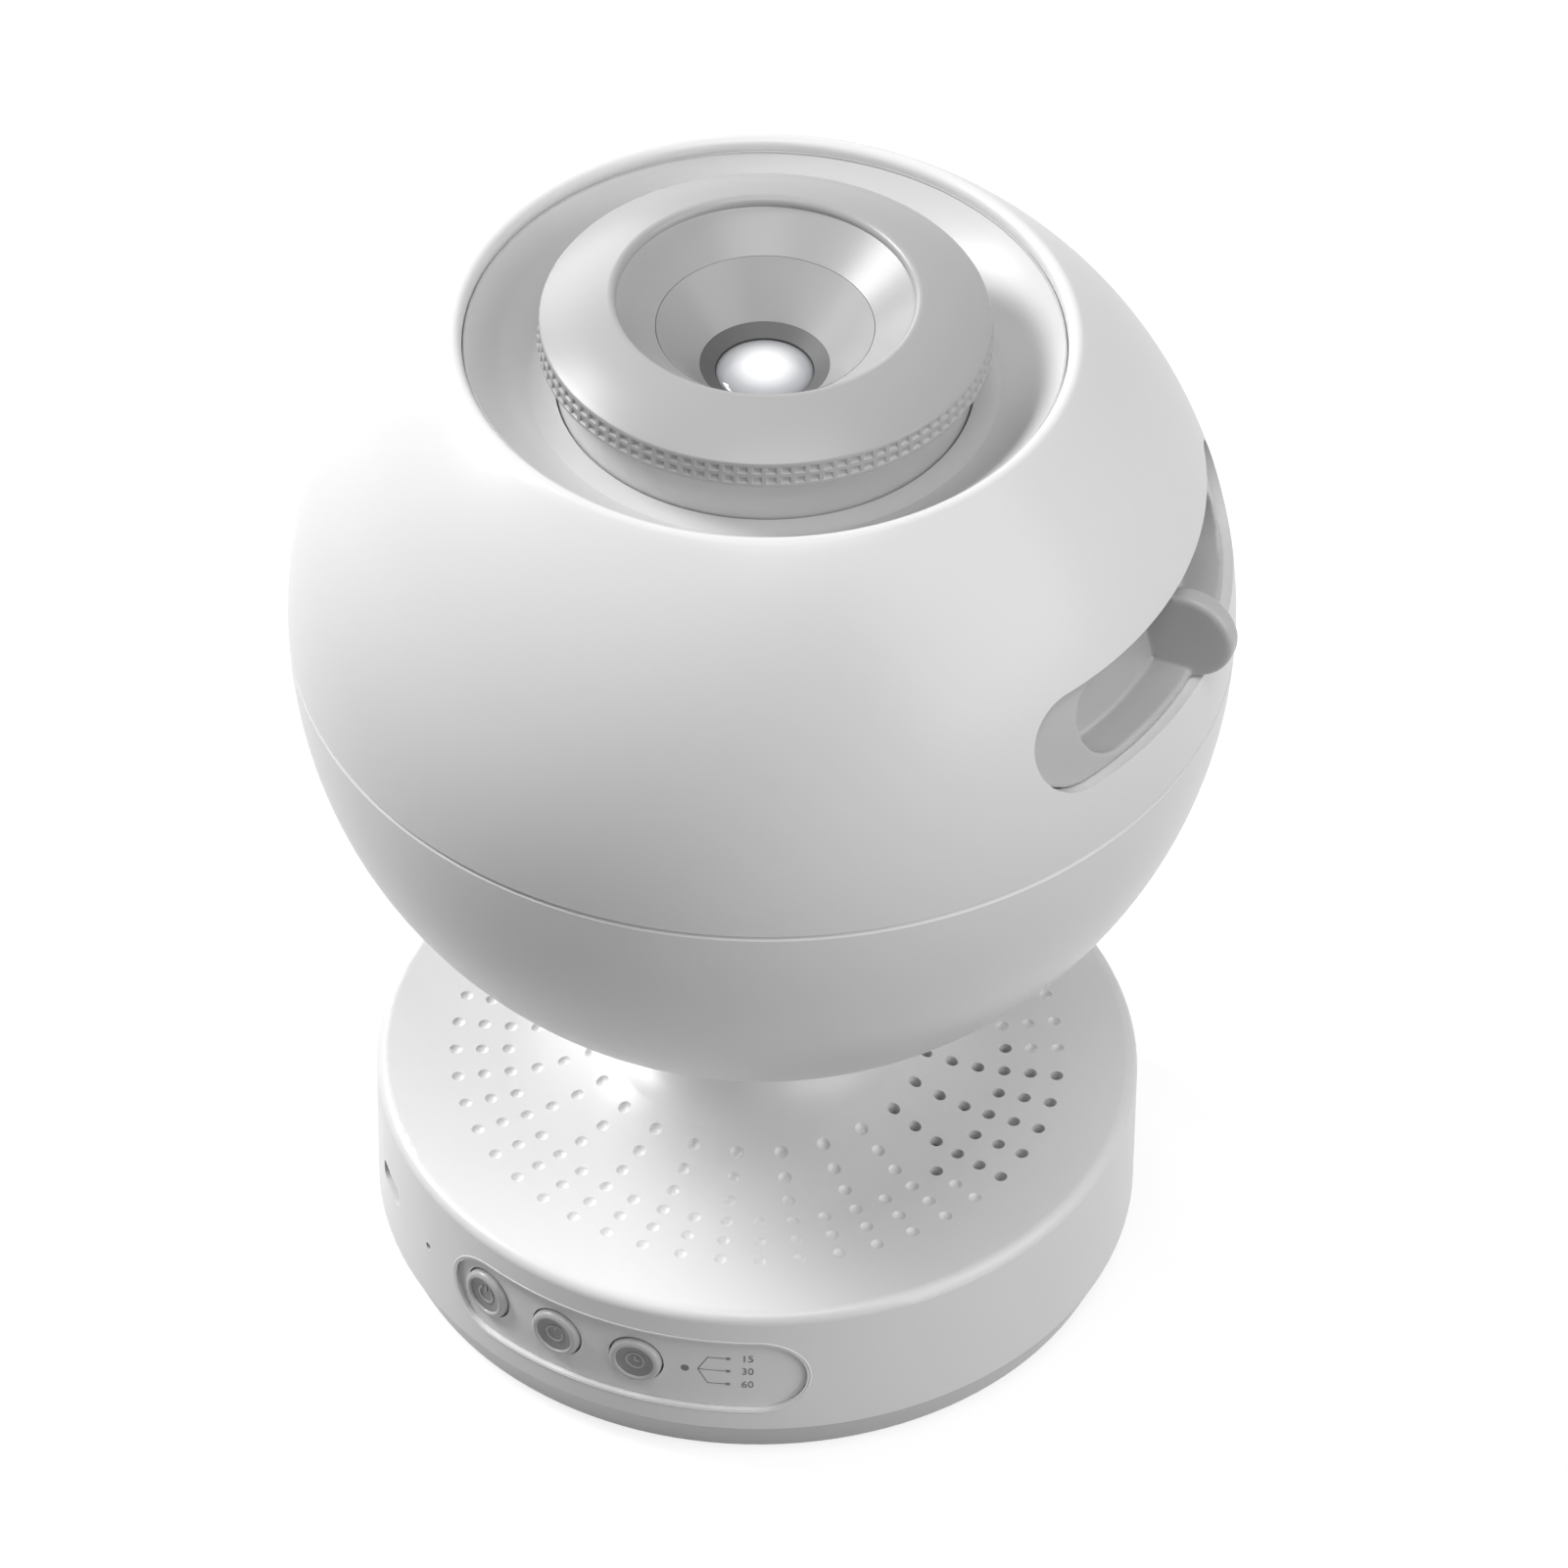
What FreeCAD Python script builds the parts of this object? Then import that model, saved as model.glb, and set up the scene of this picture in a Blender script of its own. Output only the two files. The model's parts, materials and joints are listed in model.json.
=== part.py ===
import FreeCAD, Part
import math
import os

os.makedirs("parts", exist_ok=True)
V = FreeCAD.Vector

# Millimetres, +Z up. The origin is the centre of the base on the table, the buttons face -Y
# and the film drawer opens towards +X.

# Clearances and overruns
over = 1.0
fit_gap = 0.02
run_gap = 0.06
seat_gap = 0.3
slide_gap = 0.35

# Base housing and bottom cover
base_radius = 64.0
base_share = base_radius / 64.0
base_wall = 2.2
deck_z = 33.5
shoulder_round = 2.0
crease_z = 7.5
cover_draw_in = 2.8
pad_thick = 1.0
pad_radius = base_radius - 20.0
cover_lip = 3.0
cover_floor = 2.2
flare_foot_radius = 42.0 * base_share
flare_knee_radius = 25.0 * base_share
flare_knee_rise = 4.4
neck_radius = 15.5
neck_rise = 17.0
neck_bend_radius = 18.4
neck_bend_rise = 9.4
neck_bore = 9.0
neck_tube_radius = 11.5
neck_tube_drop = 7.5

# Ring of dimples in the deck
ray_count = 48
long_ray_holes = 6
short_ray_holes = 3
outer_ring_radius = 50.64 * base_share
ring_pitch = 4.44 * base_share
hole_radius = 1.1
dimple_depth = 0.55
speaker_x = 39.0 * base_share
grille_radius = 17.0 * base_share

# Ball head
ball_radius = 77.0
ball_wall = 2.2
ball_gap = 22.0
seam_drop = 1.4
seam_chamfer = 0.35
ball_z = deck_z + ball_gap + ball_radius
head_share = ball_radius / 77.0
inner_radius = ball_radius - ball_wall

# Dish around the focus ring, heights above the ball's centre
rim_radius = 48.3 * head_share
rim_round = 1.3
rim_z = 56.5 * head_share
rim_depth = 3.0
dish_gap = 0.15
dish_flange = 3.4 * head_share
dish_flange_thick = 2.0
dish_floor_radius = 37.5 * head_share
dish_floor_z = 48.2 * head_share
dish_sag = 2.2 * head_share
dish_wall = 1.8
dish_collar_radius = 36.2 * head_share

# Focus ring and sleeve
ring_radius = 36.4 * head_share
ring_top_radius = 36.0 * head_share
ring_top_z = 61.8 * head_share
ring_lip_radius = 24.8 * head_share
ring_lip_z = 66.3 * head_share
ring_lip_round = 0.9 * head_share
mouth_radius = 23.8 * head_share
knurl_height = 4.6 * head_share
knurl_count = 100
knurl_rows = 2
knurl_dimple = 0.8 * head_share
knurl_depth = 0.35 * head_share
ring_wall = 2.2
sleeve_radius = 33.3 * head_share
sleeve_wall = 2.2
sleeve_foot_z = 40.0 * head_share
sleeve_flange = 2.4 * head_share
sleeve_flange_thick = 2.0 * head_share
sleeve_socket = 1.2 * head_share
hub_wall = 3.2
hub_foot_z = 44.0 * head_share

# Lens barrel and its helical groove
barrel_radius = 17.4 * head_share
barrel_gap = 0.1
barrel_top_z = 59.8 * head_share
barrel_foot_z = 31.0 * head_share
cone_foot_radius = 10.4 * head_share
cone_foot_z = 52.0 * head_share
retainer_bore = 7.95 * head_share
retainer_sink = 1.4 * head_share
retainer_thick = 2.0 * head_share
front_lens_edge = 3.0 * head_share
front_lens_crown = 1.6 * head_share
rear_lens_radius = 13.0 * head_share
rear_lens_edge = 2.4 * head_share
rear_lens_crown = 1.8 * head_share
rear_lens_ledge = 1.6 * head_share
focus_pitch = 12.0 * head_share
focus_turn = 60.0
focus_turn_spare = 9.0
cam_radius = 1.2 * head_share
cam_reach = 1.5 * head_share
cam_z = 49.6 * head_share
cam_count = 3
groove_gap = 0.25
key_width = 4.0 * head_share
key_reach = 1.8 * head_share
key_height = 4.5 * head_share

# Film drawer, heights above the ball's centre
slot_z = 20.3 * head_share
slot_half_width = 40.0 * head_share
slot_half_height = 8.8 * head_share
drawer_gap = 0.25
front_sink = 1.6 * head_share
front_thick = 8.4 * head_share
pocket_half_width = 30.0 * head_share
pocket_half_height = 7.3 * head_share
pocket_depth = 6.4 * head_share
fin_thick = 3.6 * head_share
fin_radius = 8.0 * head_share
fin_x = 73.2 * head_share
fin_drop = 0.6 * head_share
fin_round = 1.2 * head_share
drawer_half_width = 35.5 * head_share
drawer_wall = 2.5 * head_share
drawer_z = 15.0 * head_share
drawer_plate = 2.0 * head_share
drawer_wall_top = 20.0 * head_share
drawer_arm_x = 55.0 * head_share
drawer_travel = 88.0 * head_share
lug_y = 30.7 * head_share
lug_half = 2.2 * head_share
lug_thick = 3.0 * head_share
lug_x = 50.5 * head_share

# Film disc and its gear
gear_module = 0.75 * head_share
gear_teeth = 84
pinion_teeth = 12
tooth_addendum_share = 0.85
tooth_dedendum_share = 1.05
tooth_play = 0.3
pressure_angle = 20.0
gear_height = 4.6 * head_share
collar_radius = 26.5 * head_share
collar_wall = 2.0 * head_share
collar_height = 2.0 * head_share
gear_ledge = 1.4 * head_share
gear_ledge_thick = 0.8 * head_share
film_radius = 29.0 * head_share
film_thick = 0.6 * head_share
clip_width = 1.9 * head_share
clip_thick = 1.0 * head_share
pinion_height = 3.7 * head_share
motor_radius = 6.5 * head_share
motor_height = 18.0 * head_share
shaft_radius = 1.0 * head_share

# Inner frame of the ball, heights above the ball's centre
chassis_z = 6.0 * head_share
chassis_thick = 3.0 * head_share
chassis_radius = 58.0 * head_share
rail_wall = 2.5 * head_share
rail_lip = 1.8 * head_share
rail_lip_thick = 2.0 * head_share
rail_end_x = 48.0 * head_share
rail_tail_x = 56.0 * head_share
ear_x = 56.0 * head_share
ear_thick = 4.5 * head_share
ear_half_width = 8.0 * head_share
pillar_radius = 3.4 * head_share
pillar_x = 20.0 * head_share
pillar_y = 42.4 * head_share
mount_z = 34.5 * head_share
mount_thick = 2.5 * head_share
mount_radius = 51.0 * head_share
post_radius = 3.2 * head_share
front_post = (34.0 * head_share, -42.0 * head_share)
back_post = (18.0 * head_share, 53.5 * head_share)
shell_post_radius = 4.0 * head_share
shell_post_reach = 64.0 * head_share
shell_post_angles = (135.0, 225.0, 315.0)
shell_screw_sink = 12.0 * head_share

# Lamp under the film
lamp_radius = 24.0 * head_share
lamp_wall = 2.0 * head_share
lamp_foot_z = -28.0 * head_share
lamp_hole = 6.0 * head_share
condenser_edge = 3.0 * head_share
condenser_crown = 6.5 * head_share
condenser_z = -14.0 * head_share
led_board_radius = 12.0 * head_share
led_board_thick = 1.2 * head_share
led_radius = 2.6 * head_share
led_height = 1.6 * head_share
sink_radius = 18.0 * head_share
sink_plate = 4.0 * head_share
fin_height = 15.0 * head_share
fin_count = 7
fin_plate = 1.6 * head_share

# Tilting yoke and swivel stem
yoke_inner = 62.0 * head_share
yoke_thick = 5.0 * head_share
yoke_half_width = 5.0 * head_share
yoke_hub_wall = 2.0 * head_share
yoke_boss = 7.5 * head_share
pin_radius = 3.0 * head_share
pin_head_radius = 5.0 * head_share
pin_head = 1.6 * head_share
washer_radius = 5.5 * head_share
washer_share = 0.2
tilt_max = 45.0
stem_radius = 6.5
stem_bore = 3.5
stem_foot_z = 21.0
stem_head = 2.0
stem_flange_radius = 13.5
stem_flange_thick = 2.4
slot_clearance = 1.2
clip_height = 1.8
clip_radius = 10.5
thrust_height = 1.4

# Control panel and buttons
panel_z = 19.45
panel_half_angle = 29.48
panel_half_width = base_radius * math.sin(math.radians(panel_half_angle))
panel_half_height = 7.65
panel_depth = 0.9
panel_thick = 2.0
panel_gap = 0.1
button_z = 19.8
button_angles = (-23.0, -9.75, 3.5)
button_names = ("power_button", "rotation_button", "timer_button")
button_radius = 4.5
button_gap = 0.3
button_rise = 1.1
button_rim_round = 0.7
button_hollow = 0.45
button_hollow_radius = 3.5
button_stem_radius = 1.6
button_flange = 0.9
button_travel = 0.5
timer_light_angle = 11.1
light_radius = 0.7
charge_light_angle = -36.9
charge_light_z = 19.1
flex_thick = 0.8
flex_half_height = 6.5
flex_angles = (-31.0, 17.0)
switch_height = 2.6
switch_half = 3.0
switch_gap = 0.5
rib_thick = 2.0

# Electronics in the base
socket_angle = -51.5
socket_z = 19.3
socket_width = 9.0
socket_height = 3.2
socket_depth = 7.4
socket_wall = 0.4
socket_window_gap = 0.3
charge_board_width = 20.0
charge_board_depth = 15.0 * base_share
board_thick = 1.6
main_board_width = 54.0 * base_share
main_board_depth = 34.0 * base_share
main_board_y = 33.0 * base_share
main_board_z = 9.5
standoff_radius = 2.6
standoff_inset = 4.0
chip_size = 9.0
chip_height = 1.4
can_radius = 2.5
can_height = 6.0
battery_radius = 9.2
battery_length = (base_radius - 31.5) * 2
battery_y = -21.5 * base_share
battery_cap = 1.2
speaker_radius = 20.0 * base_share
speaker_seat_width = 1.8
speaker_seat_drop = 2.3
speaker_flange = 1.5
basket_depth = 5.5
basket_foot_radius = 12.0 * base_share
basket_wall = 1.2
magnet_radius = 10.0 * base_share
magnet_height = 6.0
cone_radius = 16.5 * base_share
cone_depth = 4.5
cone_throat = 5.0 * base_share
cone_wall = 0.6
screw_ring_radius = base_radius - 14.0
screw_angles = (45.0, 135.0, 225.0, 285.0)
boss_radius = 4.0
screw_radius = 1.4
screw_head_radius = 2.7
screw_head = 1.8


def write(name, shape):
    shape.exportStep("parts/" + name + ".step")


def height_on(radius, reach):
    return math.sqrt(radius * radius - reach * reach)


def turned(start, steps, z=0.0):
    """A solid of revolution. A step is a point (r, z), or an arc through (r, z) to (r, z)."""
    edges = []
    here = V(start[0], 0, start[1] + z)
    for step in steps:
        there = V(step[-2], 0, step[-1] + z)
        if len(step) == 4:
            middle = V(step[0], 0, step[1] + z)
            edges.append(Part.Arc(here, middle, there).toShape())
        else:
            edges.append(Part.LineSegment(here, there).toShape())
        here = there
    edges.append(Part.LineSegment(here, V(start[0], 0, start[1] + z)).toShape())
    return Part.Face(Part.Wire(edges)).revolve(V(0, 0, 0), V(0, 0, 1), 360)


def ring(outer, inner, low, high, x=0.0, y=0.0):
    body = Part.makeCylinder(outer, high - low, V(x, y, low))
    if inner > 0:
        body = body.cut(Part.makeCylinder(inner, high - low + over + over, V(x, y, low - over)))
    return body


def block(low, high):
    size = [b - a for a, b in zip(low, high)]
    return Part.makeBox(size[0], size[1], size[2], V(*low))


def ball(radius):
    return Part.makeSphere(radius, V(0, 0, ball_z))


def placed(shape, angle, x=0.0, z=0.0):
    """Turns a shape built towards -Y to an angle from the front, positive towards +X."""
    copy = shape.copy()
    copy.translate(V(x, 0, z))
    copy.rotate(V(0, 0, 0), V(0, 0, 1), angle)
    return copy


def outward(radius, near, far, z, angle=0.0, bore=0.0):
    """A round bar pointing out of the base at an angle from the front."""
    bar = Part.makeCylinder(radius, far - near, V(0, -near, z), V(0, -1, 0))
    if bore > 0:
        bar = bar.cut(Part.makeCylinder(bore, far - near + over + over, V(0, over - near, z), V(0, -1, 0)))
    return placed(bar, angle)


def stadium(half_width, half_height, near, far, z, axis):
    """A bar with round ends, lying across its axis, which is -Y or +X."""
    flat = half_width - half_height
    bar = Part.makeBox(flat + flat, far - near, half_height + half_height, V(-flat, -far, z - half_height))
    for side in (-flat, flat):
        end = Part.makeCylinder(half_height, far - near, V(side, -near, z), V(0, -1, 0))
        bar = bar.fuse(end)
    bar = bar.removeSplitter()
    if axis == "x":
        bar.rotate(V(0, 0, 0), V(0, 0, 1), 90)
    return bar


def around(radius, angle):
    """A point at an angle from the front, positive towards +X."""
    turn = math.radians(angle)
    return radius * math.sin(turn), -radius * math.cos(turn)


def group(solids):
    return Part.makeCompound(solids)


def corners():
    return [around(screw_ring_radius, angle) for angle in screw_angles]


# Base housing: deck with its dimples, skirt, and the flared neck that carries the head
def deck_rise(radius):
    """How far the flare stands above the deck at a radius."""
    reach = flare_foot_radius - flare_knee_radius
    bend = (reach * reach + flare_knee_rise * flare_knee_rise) / (flare_knee_rise + flare_knee_rise)
    inward = max(0.0, flare_foot_radius - radius)
    return bend - math.sqrt(bend * bend - inward * inward)


def base_housing():
    half_reach = (flare_foot_radius + flare_knee_radius) / 2
    skirt_inner = base_radius - base_wall
    shoulder = shoulder_round * (1 - math.sqrt(0.5))
    under = deck_z - base_wall
    shell = turned(
        (base_radius, crease_z),
        [
            (base_radius, deck_z - shoulder_round),
            (base_radius - shoulder, deck_z - shoulder, base_radius - shoulder_round, deck_z),
            (flare_foot_radius, deck_z),
            (half_reach, deck_z + deck_rise(half_reach), flare_knee_radius, deck_z + flare_knee_rise),
            (neck_bend_radius, deck_z + neck_bend_rise, neck_radius, deck_z + neck_rise),
            (neck_bore, deck_z + neck_rise),
            (neck_bore, deck_z - neck_tube_drop),
            (neck_tube_radius, deck_z - neck_tube_drop),
            (neck_tube_radius, deck_z),
            (flare_knee_radius - base_wall, deck_z),
            (flare_foot_radius, under),
            (skirt_inner, under),
            (skirt_inner, crease_z),
        ],
    )
    seat = ring(speaker_radius, speaker_radius - speaker_seat_width, under - speaker_seat_drop, deck_z, speaker_x)
    bosses = [ring(boss_radius, 0, cover_floor + pad_thick + fit_gap, deck_z - base_wall / 2, x, y) for x, y in corners()]
    shell = shell.fuse([seat] + bosses)
    tools = []
    for x, y in corners():
        tools.append(Part.makeCylinder(screw_radius, deck_z / 2, V(x, y, 0)))
    for ray in range(ray_count):
        angle = ray * 2 * math.pi / ray_count
        holes = long_ray_holes if ray % 2 == 0 else short_ray_holes
        for step in range(holes):
            radius = outer_ring_radius - step * ring_pitch
            x = radius * math.sin(angle)
            y = -radius * math.cos(angle)
            top = deck_z + deck_rise(radius)
            if math.hypot(x - speaker_x, y) <= grille_radius:
                depth = base_wall + flare_knee_rise + over
                tools.append(Part.makeCylinder(hole_radius, depth + over, V(x, y, top - depth)))
            else:
                bend = (hole_radius ** 2 + dimple_depth ** 2) / (dimple_depth + dimple_depth)
                tools.append(Part.makeSphere(bend, V(x, y, top - dimple_depth + bend)))
    tools.append(stadium(panel_half_width, panel_half_height, base_radius / 2, base_radius + over, panel_z, "y"))
    window = panel_window(socket_width + 2 * socket_window_gap, socket_height + 2 * socket_window_gap)
    tools.append(window)
    tools.append(outward(light_radius + fit_gap, base_radius / 2, base_radius + over, charge_light_z, charge_light_angle))
    return shell.cut(tools)


def panel_window(width, height):
    """The rounded window of the charging socket, cut through the skirt."""
    bar = stadium(width / 2, height / 2, base_radius - base_wall - over, base_radius + over, socket_z, "y")
    return placed(bar, socket_angle)


def base_bottom():
    skirt_inner = base_radius - base_wall
    low = pad_thick
    dish = turned(
        (0, low),
        [
            (base_radius - cover_draw_in, low),
            (base_radius, crease_z - fit_gap),
            (skirt_inner, crease_z - fit_gap),
            (skirt_inner - fit_gap, crease_z - fit_gap),
            (skirt_inner - fit_gap, crease_z + cover_lip),
            (skirt_inner - base_wall, crease_z + cover_lip),
            (skirt_inner - base_wall, low + cover_floor),
            (0, low + cover_floor),
        ],
    )
    floor = low + cover_floor
    added = []
    board_left, board_right = flex_angles
    inner = flex_radius() - flex_thick - rib_thick
    sweep = board_right - board_left
    rib = Part.makeCylinder(inner + rib_thick, button_z + flex_half_height - low, V(0, 0, low), V(0, 0, 1), sweep)
    core = Part.makeCylinder(inner, deck_z, V(0, 0, 0), V(0, 0, 1), 360)
    rib.rotate(V(0, 0, 0), V(0, 0, 1), board_left - 90)
    added.append(rib.cut(core))
    for x, y in standoffs():
        added.append(ring(standoff_radius, 0, low, main_board_z, x, y))
    cradle = battery_radius / 2
    for side in (-1, 1):
        x = side * battery_length / 4
        saddle = block(
            (x - rib_thick, battery_y - battery_radius, low),
            (x + rib_thick, battery_y + battery_radius, floor + cradle),
        )
        added.append(saddle)
    shelf = block(
        (-charge_board_width / 2, -socket_front() + fit_gap, low),
        (charge_board_width / 2, -socket_front() + charge_board_depth, socket_z - socket_height / 2 - board_thick),
    )
    shelf = shelf.common(ring(skirt_inner - base_wall, 0, 0, deck_z))
    added.append(placed(shelf, socket_angle))
    speaker_post = ring(magnet_radius, magnet_radius - basket_wall, low, speaker_foot(), speaker_x)
    added.append(speaker_post)
    tools = [battery_bar(fit_gap)]
    for x, y in corners():
        added.append(ring(boss_radius + basket_wall, boss_radius + fit_gap, low, floor + cover_lip, x, y))
        tools.append(Part.makeCylinder(screw_radius + run_gap, deck_z / 2, V(x, y, 0)))
        tools.append(Part.makeCylinder(screw_head_radius + run_gap, screw_head, V(x, y, low)))
    body = dish.fuse(added)
    return body.cut(tools)


def base_pad():
    pad = ring(pad_radius, 0, 0, pad_thick)
    holes = [Part.makeCylinder(screw_head_radius + run_gap, deck_z, V(x, y, -over)) for x, y in corners()]
    return pad.cut(holes)


def base_screws():
    screws = []
    for x, y in corners():
        head = Part.makeCylinder(screw_head_radius, screw_head, V(x, y, pad_thick))
        shank = Part.makeCylinder(screw_radius - fit_gap, deck_z / 2 - screw_head - over, V(x, y, pad_thick + screw_head))
        screws.append(head.fuse(shank))
    return group(screws)


# Control panel and its buttons
def flex_radius():
    """The outer face of the flexible button board."""
    return base_radius - panel_depth - panel_thick - button_flange - switch_height - switch_gap - panel_thick


def panel_shell(outer, inner):
    return ring(outer, inner, crease_z, deck_z)


def control_panel():
    bar = stadium(
        panel_half_width - panel_gap, panel_half_height - panel_gap, base_radius / 2, base_radius + over, panel_z, "y"
    )
    outer = base_radius - panel_depth
    plate = bar.common(panel_shell(outer, outer - panel_thick))
    tools = [outward(button_radius + button_gap, base_radius / 2, base_radius + over, button_z, a) for a in button_angles]
    tools.append(outward(light_radius + fit_gap, base_radius / 2, base_radius + over, button_z, timer_light_angle))
    return plate.cut(tools)


def button(angle):
    face = base_radius - panel_depth + button_rise
    back = base_radius - panel_depth - panel_thick
    cap = Part.makeCylinder(button_radius, face - back, V(0, -back, button_z), V(0, -1, 0))
    rim = [e for e in cap.Edges if e.Closed and abs(e.CenterOfMass.y + face) < button_rim_round]
    cap = cap.makeFillet(button_rim_round, rim)
    reach = (button_hollow_radius ** 2 + button_hollow ** 2) / (button_hollow + button_hollow)
    cap = cap.cut(Part.makeSphere(reach, V(0, -face - reach + button_hollow, button_z)))
    flange_foot = back - seat_gap - button_flange
    stem_foot = flex_radius() + switch_height + button_travel + seat_gap / 2
    flange = Part.makeCylinder(button_radius + button_flange, button_flange, V(0, -flange_foot, button_z), V(0, -1, 0))
    neck = Part.makeCylinder(button_radius - button_gap, back - flange_foot, V(0, -flange_foot, button_z), V(0, -1, 0))
    stem = Part.makeCylinder(button_stem_radius, back - stem_foot, V(0, -stem_foot, button_z), V(0, -1, 0))
    return placed(cap.fuse([flange, neck, stem]), angle)


def button_flex():
    left, right = flex_angles
    outer = flex_radius() - fit_gap
    low = button_z - flex_half_height
    board = Part.makeCylinder(outer, 2 * flex_half_height, V(0, 0, low), V(0, 0, 1), right - left)
    core = Part.makeCylinder(outer - flex_thick + fit_gap + fit_gap, deck_z, V(0, 0, 0))
    board.rotate(V(0, 0, 0), V(0, 0, 1), left - 90)
    return board.cut(core)


def button_switches():
    parts = []
    near = flex_radius() - over
    curve = ring(flex_radius() + switch_height, flex_radius(), crease_z, deck_z)
    for angle in button_angles:
        bar = block((-switch_half, -base_radius, button_z - switch_half), (switch_half, -near, button_z + switch_half))
        parts.append(placed(bar, angle).common(curve))
    return group(parts)


def light_guide(angle, z, face):
    return outward(light_radius, flex_radius() + seat_gap, face, z, angle)


# Electronics in the base
def socket_front():
    return base_radius - base_wall - seat_gap


def charge_socket():
    front = socket_front()
    outer = stadium(socket_width / 2, socket_height / 2, front - socket_depth, front, socket_z, "y")
    inner = stadium(
        socket_width / 2 - socket_wall, socket_height / 2 - socket_wall, front - socket_depth + over, front + over,
        socket_z, "y",
    )
    tongue = block(
        (-socket_width / 3, -front + over, socket_z - socket_wall),
        (socket_width / 3, -front + socket_depth, socket_z + socket_wall),
    )
    return placed(outer.cut(inner).fuse(tongue), socket_angle)


def charge_board():
    front = socket_front() - run_gap
    board = block(
        (-charge_board_width / 2, -front, socket_z - socket_height / 2 - board_thick),
        (charge_board_width / 2, -front + charge_board_depth, socket_z - socket_height / 2),
    )
    inside = ring(base_radius - base_wall - cover_lip, 0, 0, deck_z)
    return placed(board.common(inside), socket_angle)


def standoffs():
    x = main_board_width / 2 - standoff_inset
    y = main_board_depth / 2 - standoff_inset
    return [(i * x, main_board_y + j * y) for i in (-1, 1) for j in (-1, 1)]


def main_board():
    low = (-main_board_width / 2, main_board_y - main_board_depth / 2, main_board_z)
    high = (main_board_width / 2, main_board_y + main_board_depth / 2, main_board_z + board_thick)
    return block(low, high)


def board_parts():
    top = main_board_z + board_thick
    chips = []
    for x in (-main_board_width / 4, main_board_width / 5):
        low = (x - chip_size / 2, main_board_y - chip_size / 2, top)
        chips.append(block(low, (x + chip_size / 2, main_board_y + chip_size / 2, top + chip_height)))
    for i in (-1, 0, 1):
        x = i * (can_radius + can_radius + over)
        chips.append(Part.makeCylinder(can_radius, can_height, V(x, main_board_y + main_board_depth / 3, top)))
    return group(chips)


def battery_bar(gap):
    low = pad_thick + cover_floor + battery_radius + fit_gap
    start = V(-battery_length / 2, battery_y, low)
    return Part.makeCylinder(battery_radius + gap, battery_length, start, V(1, 0, 0))


def battery():
    cell = battery_bar(0)
    low = pad_thick + cover_floor + battery_radius + fit_gap
    cap = Part.makeCylinder(battery_radius / 3, battery_cap, V(battery_length / 2, battery_y, low), V(1, 0, 0))
    return cell.fuse(cap)


def speaker_top():
    return deck_z - base_wall - speaker_seat_drop


def speaker_foot():
    return speaker_top() - speaker_flange - basket_depth - magnet_height


def speaker_frame():
    top = speaker_top()
    low = top - speaker_flange
    foot = low - basket_depth
    frame = turned(
        (speaker_radius, top),
        [
            (cone_radius + basket_wall, top),
            (cone_radius + basket_wall, low),
            (basket_foot_radius, foot + basket_wall),
            (cone_throat, foot + basket_wall),
            (cone_throat, foot),
            (basket_foot_radius + basket_wall, foot),
            (speaker_radius - basket_wall, low),
            (speaker_radius, low),
        ],
    )
    frame.translate(V(speaker_x, 0, 0))
    return frame


def speaker_cone():
    top = speaker_top() - cone_wall
    foot = top - cone_depth
    lip = cone_radius + basket_wall - fit_gap
    cone = turned(
        (lip, top),
        [
            (cone_radius - basket_wall, top),
            (cone_throat, foot),
            (0, foot + cone_wall),
            (0, foot),
            (cone_throat, foot - cone_wall),
            (cone_radius - basket_wall, top - cone_wall),
            (lip, top - cone_wall),
        ],
    )
    cone.translate(V(speaker_x, 0, 0))
    return cone


def speaker_magnet():
    foot = speaker_foot()
    return ring(magnet_radius, 0, foot, foot + magnet_height, speaker_x)


# Swivel: a bush in the neck, and the stem that turns in it
def swivel_bush():
    return ring(neck_bore - fit_gap, stem_radius + run_gap, deck_z - neck_tube_drop, deck_z + neck_rise)


def stem_top():
    """Underside of the yoke's hub, where the stem ends."""
    return ball_z - yoke_inner - yoke_thick + stem_head


def stem_flange_z():
    return deck_z + neck_rise + seat_gap


def swivel_stem():
    stem = ring(stem_radius, 0, stem_foot_z, stem_top())
    low = stem_flange_z()
    flange = ring(stem_flange_radius, 0, low, low + stem_flange_thick)
    edge = [e for e in flange.Edges if e.Closed and e.BoundBox.ZMin > low]
    flange = flange.makeChamfer(stem_flange_thick / 3, edge)
    bore = Part.makeCylinder(stem_bore, ball_z, V(0, 0, 0))
    return stem.fuse(flange).cut(bore)


def swivel_washer():
    top = deck_z - neck_tube_drop - fit_gap
    return ring(clip_radius, stem_radius + fit_gap, top - thrust_height, top)


def swivel_clip():
    top = deck_z - neck_tube_drop - fit_gap - thrust_height - seat_gap / 2
    return ring(clip_radius - over, stem_radius + fit_gap, top - clip_height, top)


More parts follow.
